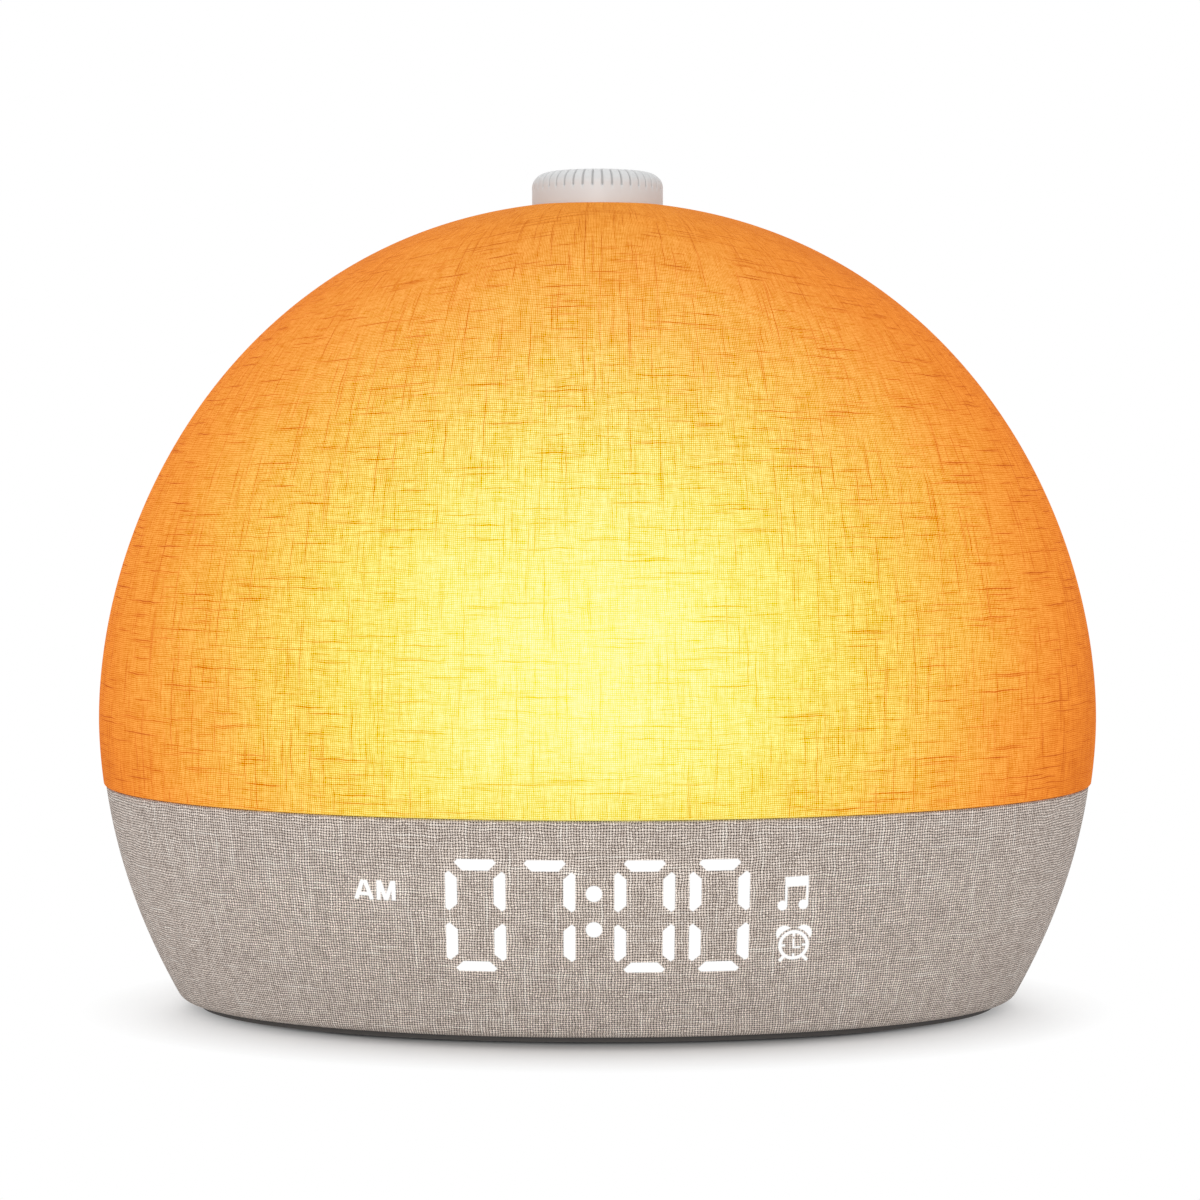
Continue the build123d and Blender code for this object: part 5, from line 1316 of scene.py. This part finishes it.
# ------------------------------------------------------------------ knob
@dataclass
class RibbedKnob:
    """The knob's cap: a plain skirt, a rounded shoulder with fine flutes, and a flat top."""

    radius: float = 13.0 * MM
    top_z: float = 167.5 * MM
    skirt_z: float = 159.1 * MM
    wall: float = 1.8 * MM
    roof: float = 2.0 * MM
    shoulder: float = 3.4 * MM
    shoulder_rise: float = 2.9 * MM
    ribs: int = 42
    flute_run: float = 0.6 * MM
    flute_depth: float = 0.42 * MM
    flute_share: float = 0.30
    samples: int = 16
    inner_bevel: float = 0.2 * MM
    rim: tuple[tuple[float, float], ...] = ((0.25 * MM, 0.0), (0.06 * MM, 0.07 * MM), (0.0, 0.25 * MM))
    skirt_start: float = 0.6 * MM
    skirt_rows: int = 6
    run_first: float = 0.15
    run_rows: int = 8
    run_share: float = 0.95
    run_gain: float = 1.5
    shoulder_rows: int = 22
    fade_bend: float = 1.35
    top_rings: tuple[float, ...] = (0.96, 0.85, 0.6, 0.3)

    def _profile(self) -> list[tuple[float, float, float]]:
        """Radius, height and flute strength, from the skirt's inside, down, up and over to the middle."""
        inside = self.radius - self.wall
        points = [
            (inside, self.top_z - self.roof, 0.0), (inside, self.skirt_z + self.inner_bevel, 0.0),
            (inside + self.inner_bevel, self.skirt_z, 0.0),
        ]
        points += [(self.radius - inset, self.skirt_z + rise, 0.0) for inset, rise in self.rim]
        flute_low = self.top_z - self.shoulder_rise - self.flute_run
        for z in np.linspace(self.skirt_z + self.skirt_start, flute_low, self.skirt_rows):
            points.append((self.radius, float(z), 0.0))
        for share in np.linspace(self.run_first, 1.0, self.run_rows):
            strength = math.sin(min(1.0, share * self.run_gain) * math.pi / 2)
            points.append((self.radius, flute_low + self.flute_run * share * self.run_share, strength))
        for bend in np.linspace(0.0, math.pi / 2, self.shoulder_rows):
            fade = 1.0
            if bend >= self.fade_bend:
                fade = max(0.0, (math.pi / 2 - bend) / (math.pi / 2 - self.fade_bend))
            points.append((
                self.radius - self.shoulder + self.shoulder * math.cos(bend),
                self.top_z - self.shoulder_rise + self.shoulder_rise * math.sin(bend), fade,
            ))
        points += [((self.radius - self.shoulder) * share, self.top_z, 0.0) for share in self.top_rings]
        return points

    def _bend(self, radius: float, z: float) -> float:
        """How far the surface has turned from upright towards level, at a point of the profile."""
        if z <= self.top_z - self.shoulder_rise:
            return 0.0
        return math.acos(min(1.0, max(0.0, (radius - self.radius + self.shoulder) / self.shoulder)))

    def build(self, shelf: FinishShelf) -> bpy.types.Object:
        """Builds and dresses the knob's cap."""
        count = self.ribs * self.samples
        angles = np.linspace(0.0, 2 * math.pi, count, endpoint=False)
        phase = np.abs((np.arange(count) / self.samples + 0.5) % 1.0 - 0.5) / (self.flute_share / 2)
        groove = np.where(phase < 1.0, 0.5 + 0.5 * np.cos(np.pi * np.minimum(phase, 1.0)), 0.0)
        rows, hollows = [], []
        for radius, z, strength in self._profile():
            bend = self._bend(radius, z)
            cut = self.flute_depth * strength * groove
            reach = radius - cut * math.cos(bend)
            level = z - cut * math.sin(bend)
            rows.append(np.stack([reach * np.cos(angles), reach * np.sin(angles), level], axis=-1))
            hollows.append(groove * strength)
        points = np.concatenate(rows)
        faces = []
        for row in range(len(rows) - 1):
            low = row * count + np.arange(count)
            nxt = row * count + (np.arange(count) + 1) % count
            faces.append(np.stack([low, nxt, nxt + count, low + count], axis=-1))
        quads = np.concatenate(faces).tolist()
        quads.append(list(range(count))[::-1])
        last = (len(rows) - 1) * count
        quads.append(list(range(last, last + count)))
        mesh = bpy.data.meshes.new("knob_cap")
        mesh.from_pydata(points.tolist(), [], quads)
        mesh.polygons.foreach_set("use_smooth", np.ones(len(quads), bool))
        # depth of each flute, which the knob's finish turns into painted shade in the flutes
        mask = mesh.attributes.new(GROOVE_SHADE_MASK, "FLOAT", "POINT")
        mask.data.foreach_set("value", np.concatenate(hollows).astype(np.float32))
        mesh.update()
        piece = link_piece("knob_cap", mesh)
        shelf.dress(piece, Finish.knob_plastic)
        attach(piece, KNOB_BODY)
        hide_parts("knob")
        return piece


# ------------------------------------------------------------------ push spring
@dataclass(frozen=True)
class PushSpring:
    """Coil under the knob's shaft, from its foot up to its head."""

    wire: float = 0.3 * MM
    coil_radius: float = 3.0 * MM
    turns: int = 3
    steps: int = 108
    sides: int = 10

    def build(self, shelf: FinishShelf) -> bpy.types.Object:
        """Builds and dresses the spring."""
        low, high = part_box("push_spring")
        foot, head = low[2] + self.wire / 2, high[2] - self.wire / 2
        angles = np.linspace(0.0, 2 * math.pi * self.turns, self.steps + 1)
        level = np.zeros_like(angles)
        outward = np.stack([np.cos(angles), np.sin(angles), level], axis=-1)
        climb = level + (head - foot) / (angles[-1] * self.coil_radius)
        along = np.stack([-np.sin(angles), np.cos(angles), climb], axis=-1)
        along /= np.linalg.norm(along, axis=-1, keepdims=True)
        upward = np.cross(along, outward)
        lift = np.stack([level, level, np.linspace(foot, head, len(angles))], axis=-1)
        middle = outward * self.coil_radius + lift
        around = np.linspace(0.0, 2 * math.pi, self.sides, endpoint=False)[None, :, None]
        ring = outward[:, None] * np.cos(around) + upward[:, None] * np.sin(around)
        points = middle[:, None] + ring * self.wire / 2
        starts = np.arange(self.steps)[:, None] * self.sides
        here = starts + np.arange(self.sides)
        beside = starts + (np.arange(self.sides) + 1) % self.sides
        quads = np.stack([here, beside, beside + self.sides, here + self.sides], axis=-1)
        faces = quads.reshape(-1, 4).tolist()
        faces.append(list(range(self.sides))[::-1])
        faces.append([self.steps * self.sides + side for side in range(self.sides)])
        mesh = bpy.data.meshes.new("push_coil")
        mesh.from_pydata(points.reshape(-1, 3).tolist(), [], faces)
        mesh.polygons.foreach_set("use_smooth", [len(face) == 4 for face in faces])
        mesh.update()
        piece = link_piece("push_coil", mesh)
        shelf.dress(piece, Finish.spring_steel)
        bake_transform(piece)
        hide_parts("push_spring")
        return piece


# ------------------------------------------------------------------ pieces that keep the frame's solids
class CarriedPieces:
    """Dresses every solid of the frame that no piece stands for."""

    def __init__(self, frame: dict) -> None:
        """Reads which material slot each node has."""
        self.nodes = frame["nodes"]
        self.slots = {row["node"]: row["material_slot"] for row in frame["record"]["subparts"]}

    def dress(self, shelf: FinishShelf, replaced: set[str]) -> int:
        """Gives each shown node the finish of its slot and returns how many there were."""
        count = 0
        for name, piece in self.nodes.items():
            if name not in replaced:
                shelf.dress(piece, Finish[self.slots[name]])
                count += 1
        return count


# ------------------------------------------------------------------ studio
@dataclass(frozen=True)
class Lamp:
    """A square soft lamp that faces the clock: its place and side in metres, and its power in watts."""

    name: str
    place: tuple[float, float, float]
    side: float
    power: float
    shines: bool = True

    def hang(self, aim_z: float) -> None:
        """Puts the lamp into the scene, turned towards a height in the clock's middle."""
        data = bpy.data.lights.new(self.name, "AREA")
        data.size, data.energy = self.side, self.power
        lamp = bpy.data.objects.new(self.name, data)
        lamp.location = self.place
        lamp.visible_glossy = self.shines
        aim = Vector((0.0, 0.0, aim_z)) - Vector(self.place)
        lamp.rotation_euler = aim.to_track_quat("-Z", "Y").to_euler()
        bpy.context.scene.collection.objects.link(lamp)


@dataclass(frozen=True)
class Studio:
    """White floor, white surround, soft lamps and the camera."""

    camera_place: tuple[float, float, float] = (0.5 * MM, -514.9 * MM, 119.2 * MM)
    camera_dip: float = 4.074
    lens: float = 77.06
    sensor: float = 36.0
    clip: tuple[float, float] = (0.01, 50.0)
    aim_z: float = 0.08
    lamps: tuple[Lamp, ...] = (
        Lamp("overhead", (0.0, 0.0, 1.5), 1.5, 5.0),
        Lamp("front", (-0.05, -1.3, 0.50), 0.6, 7.0),
        Lamp("back", (-0.2, 1.1, 0.95), 0.9, 6.0, shines=False),
    )
    floor_size: float = 12.0
    ambient: float = 0.52
    floor_white: float = 0.93
    # ellipse around the clock, and the range in its radii over which the floor turns from lit matte to its
    # own white glow: painted light over the outer part of the clock's shadow
    footprint: tuple[float, float] = (72.0 * MM, 37.5 * MM)
    fade: tuple[float, float] = (0.95, 1.45)

    def camera(self) -> None:
        """Places the camera."""
        data = bpy.data.cameras.new("camera")
        data.lens, data.sensor_width = self.lens, self.sensor
        data.clip_start, data.clip_end = self.clip
        camera = bpy.data.objects.new("camera", data)
        camera.location = self.camera_place
        camera.rotation_euler = (math.radians(90.0 - self.camera_dip), 0.0, 0.0)
        bpy.context.scene.collection.objects.link(camera)
        bpy.context.scene.camera = camera

    def _white_rays(self, graph: Graph) -> Socket:
        """A mask of the rays that see the surround: from the camera, from gloss and through glass."""
        rays = graph.add("ShaderNodeLightPath").outputs
        seen = graph.plus(rays["Is Camera Ray"], rays["Is Glossy Ray"])
        return graph.maths("ADD", seen, rays["Is Transmission Ray"], clamp=True)

    def surround(self) -> None:
        """White world, dimmer as a light than as a backdrop."""
        world = bpy.data.worlds.new("surround")
        bpy.context.scene.world = world
        world.use_nodes = True
        graph = Graph(world.node_tree)
        light = graph.add("ShaderNodeBackground")
        light.inputs["Color"].default_value = (1.0, 1.0, 1.0, 1.0)
        graph.feed(light.inputs["Strength"], graph.span(self._white_rays(graph), 0.0, 1.0, self.ambient, 1.0))
        output = graph.add("ShaderNodeOutputWorld")
        graph.tree.links.new(light.outputs[0], output.inputs[0])

    def floor(self) -> None:
        """White floor that keeps the clock's soft shadow close to the clock, and glows white further out, a
        painted light over the outer part of the shadow.
        """
        side = self.floor_size / 2
        mesh = bpy.data.meshes.new("floor")
        corners = [(-side, -side, 0), (side, -side, 0), (side, side, 0), (-side, side, 0)]
        mesh.from_pydata(corners, [], [(0, 1, 2, 3)])
        floor = link_piece("floor", mesh)
        material = bpy.data.materials.new("white floor")
        material.use_nodes = True
        graph = Graph(material.node_tree)
        matte = graph.add("ShaderNodeBsdfDiffuse")
        matte.inputs["Color"].default_value = (self.floor_white, self.floor_white, self.floor_white, 1.0)
        glow = graph.add("ShaderNodeEmission")
        x, y, _ = graph.parted(graph.position())
        far = graph.add("ShaderNodeVectorMath", operation="LENGTH")
        reach = (graph.maths("DIVIDE", *pair) for pair in zip((x, y), self.footprint))
        graph.feed(far.inputs[0], graph.joined(*reach))
        # painted light: the glow's share grows with the distance from the clock's footprint
        share = graph.times(graph.span(far.outputs["Value"], *self.fade), self._white_rays(graph))
        both = graph.add("ShaderNodeMixShader")
        output = graph.add("ShaderNodeOutputMaterial")
        graph.feed(both.inputs[0], share)
        graph.tree.links.new(matte.outputs[0], both.inputs[1])
        graph.tree.links.new(glow.outputs[0], both.inputs[2])
        graph.tree.links.new(both.outputs[0], output.inputs[0])
        floor.data.materials.append(material)

    def build(self) -> None:
        """Builds the studio."""
        self.camera()
        self.surround()
        self.floor()
        for lamp in self.lamps:
            lamp.hang(self.aim_z)
        bpy.context.scene.view_settings.view_transform = "Standard"


def main() -> None:
    """Builds the clock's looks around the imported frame."""
    logging.basicConfig(level=logging.INFO, format="%(message)s")
    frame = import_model()
    shelf = FinishShelf(Effects())
    form = BodyForm()
    makers: list[Callable[[FinishShelf], bpy.types.Object]] = [
        LightDome(form).build, ClockBase(form, Display()).build, RibbedKnob().build, PushSpring().build,
    ]
    replaced = {"dome_fabric", "base_fabric", "knob", "push_spring"}
    for make in makers:
        piece = make(shelf)
        LOG.info("%s: %d points", piece.name, len(piece.data.vertices))
    dressed = CarriedPieces(frame).dress(shelf, replaced)
    LOG.info("dressed %d carried pieces", dressed)
    Studio().build()
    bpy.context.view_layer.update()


if __name__ == "__main__":
    main()
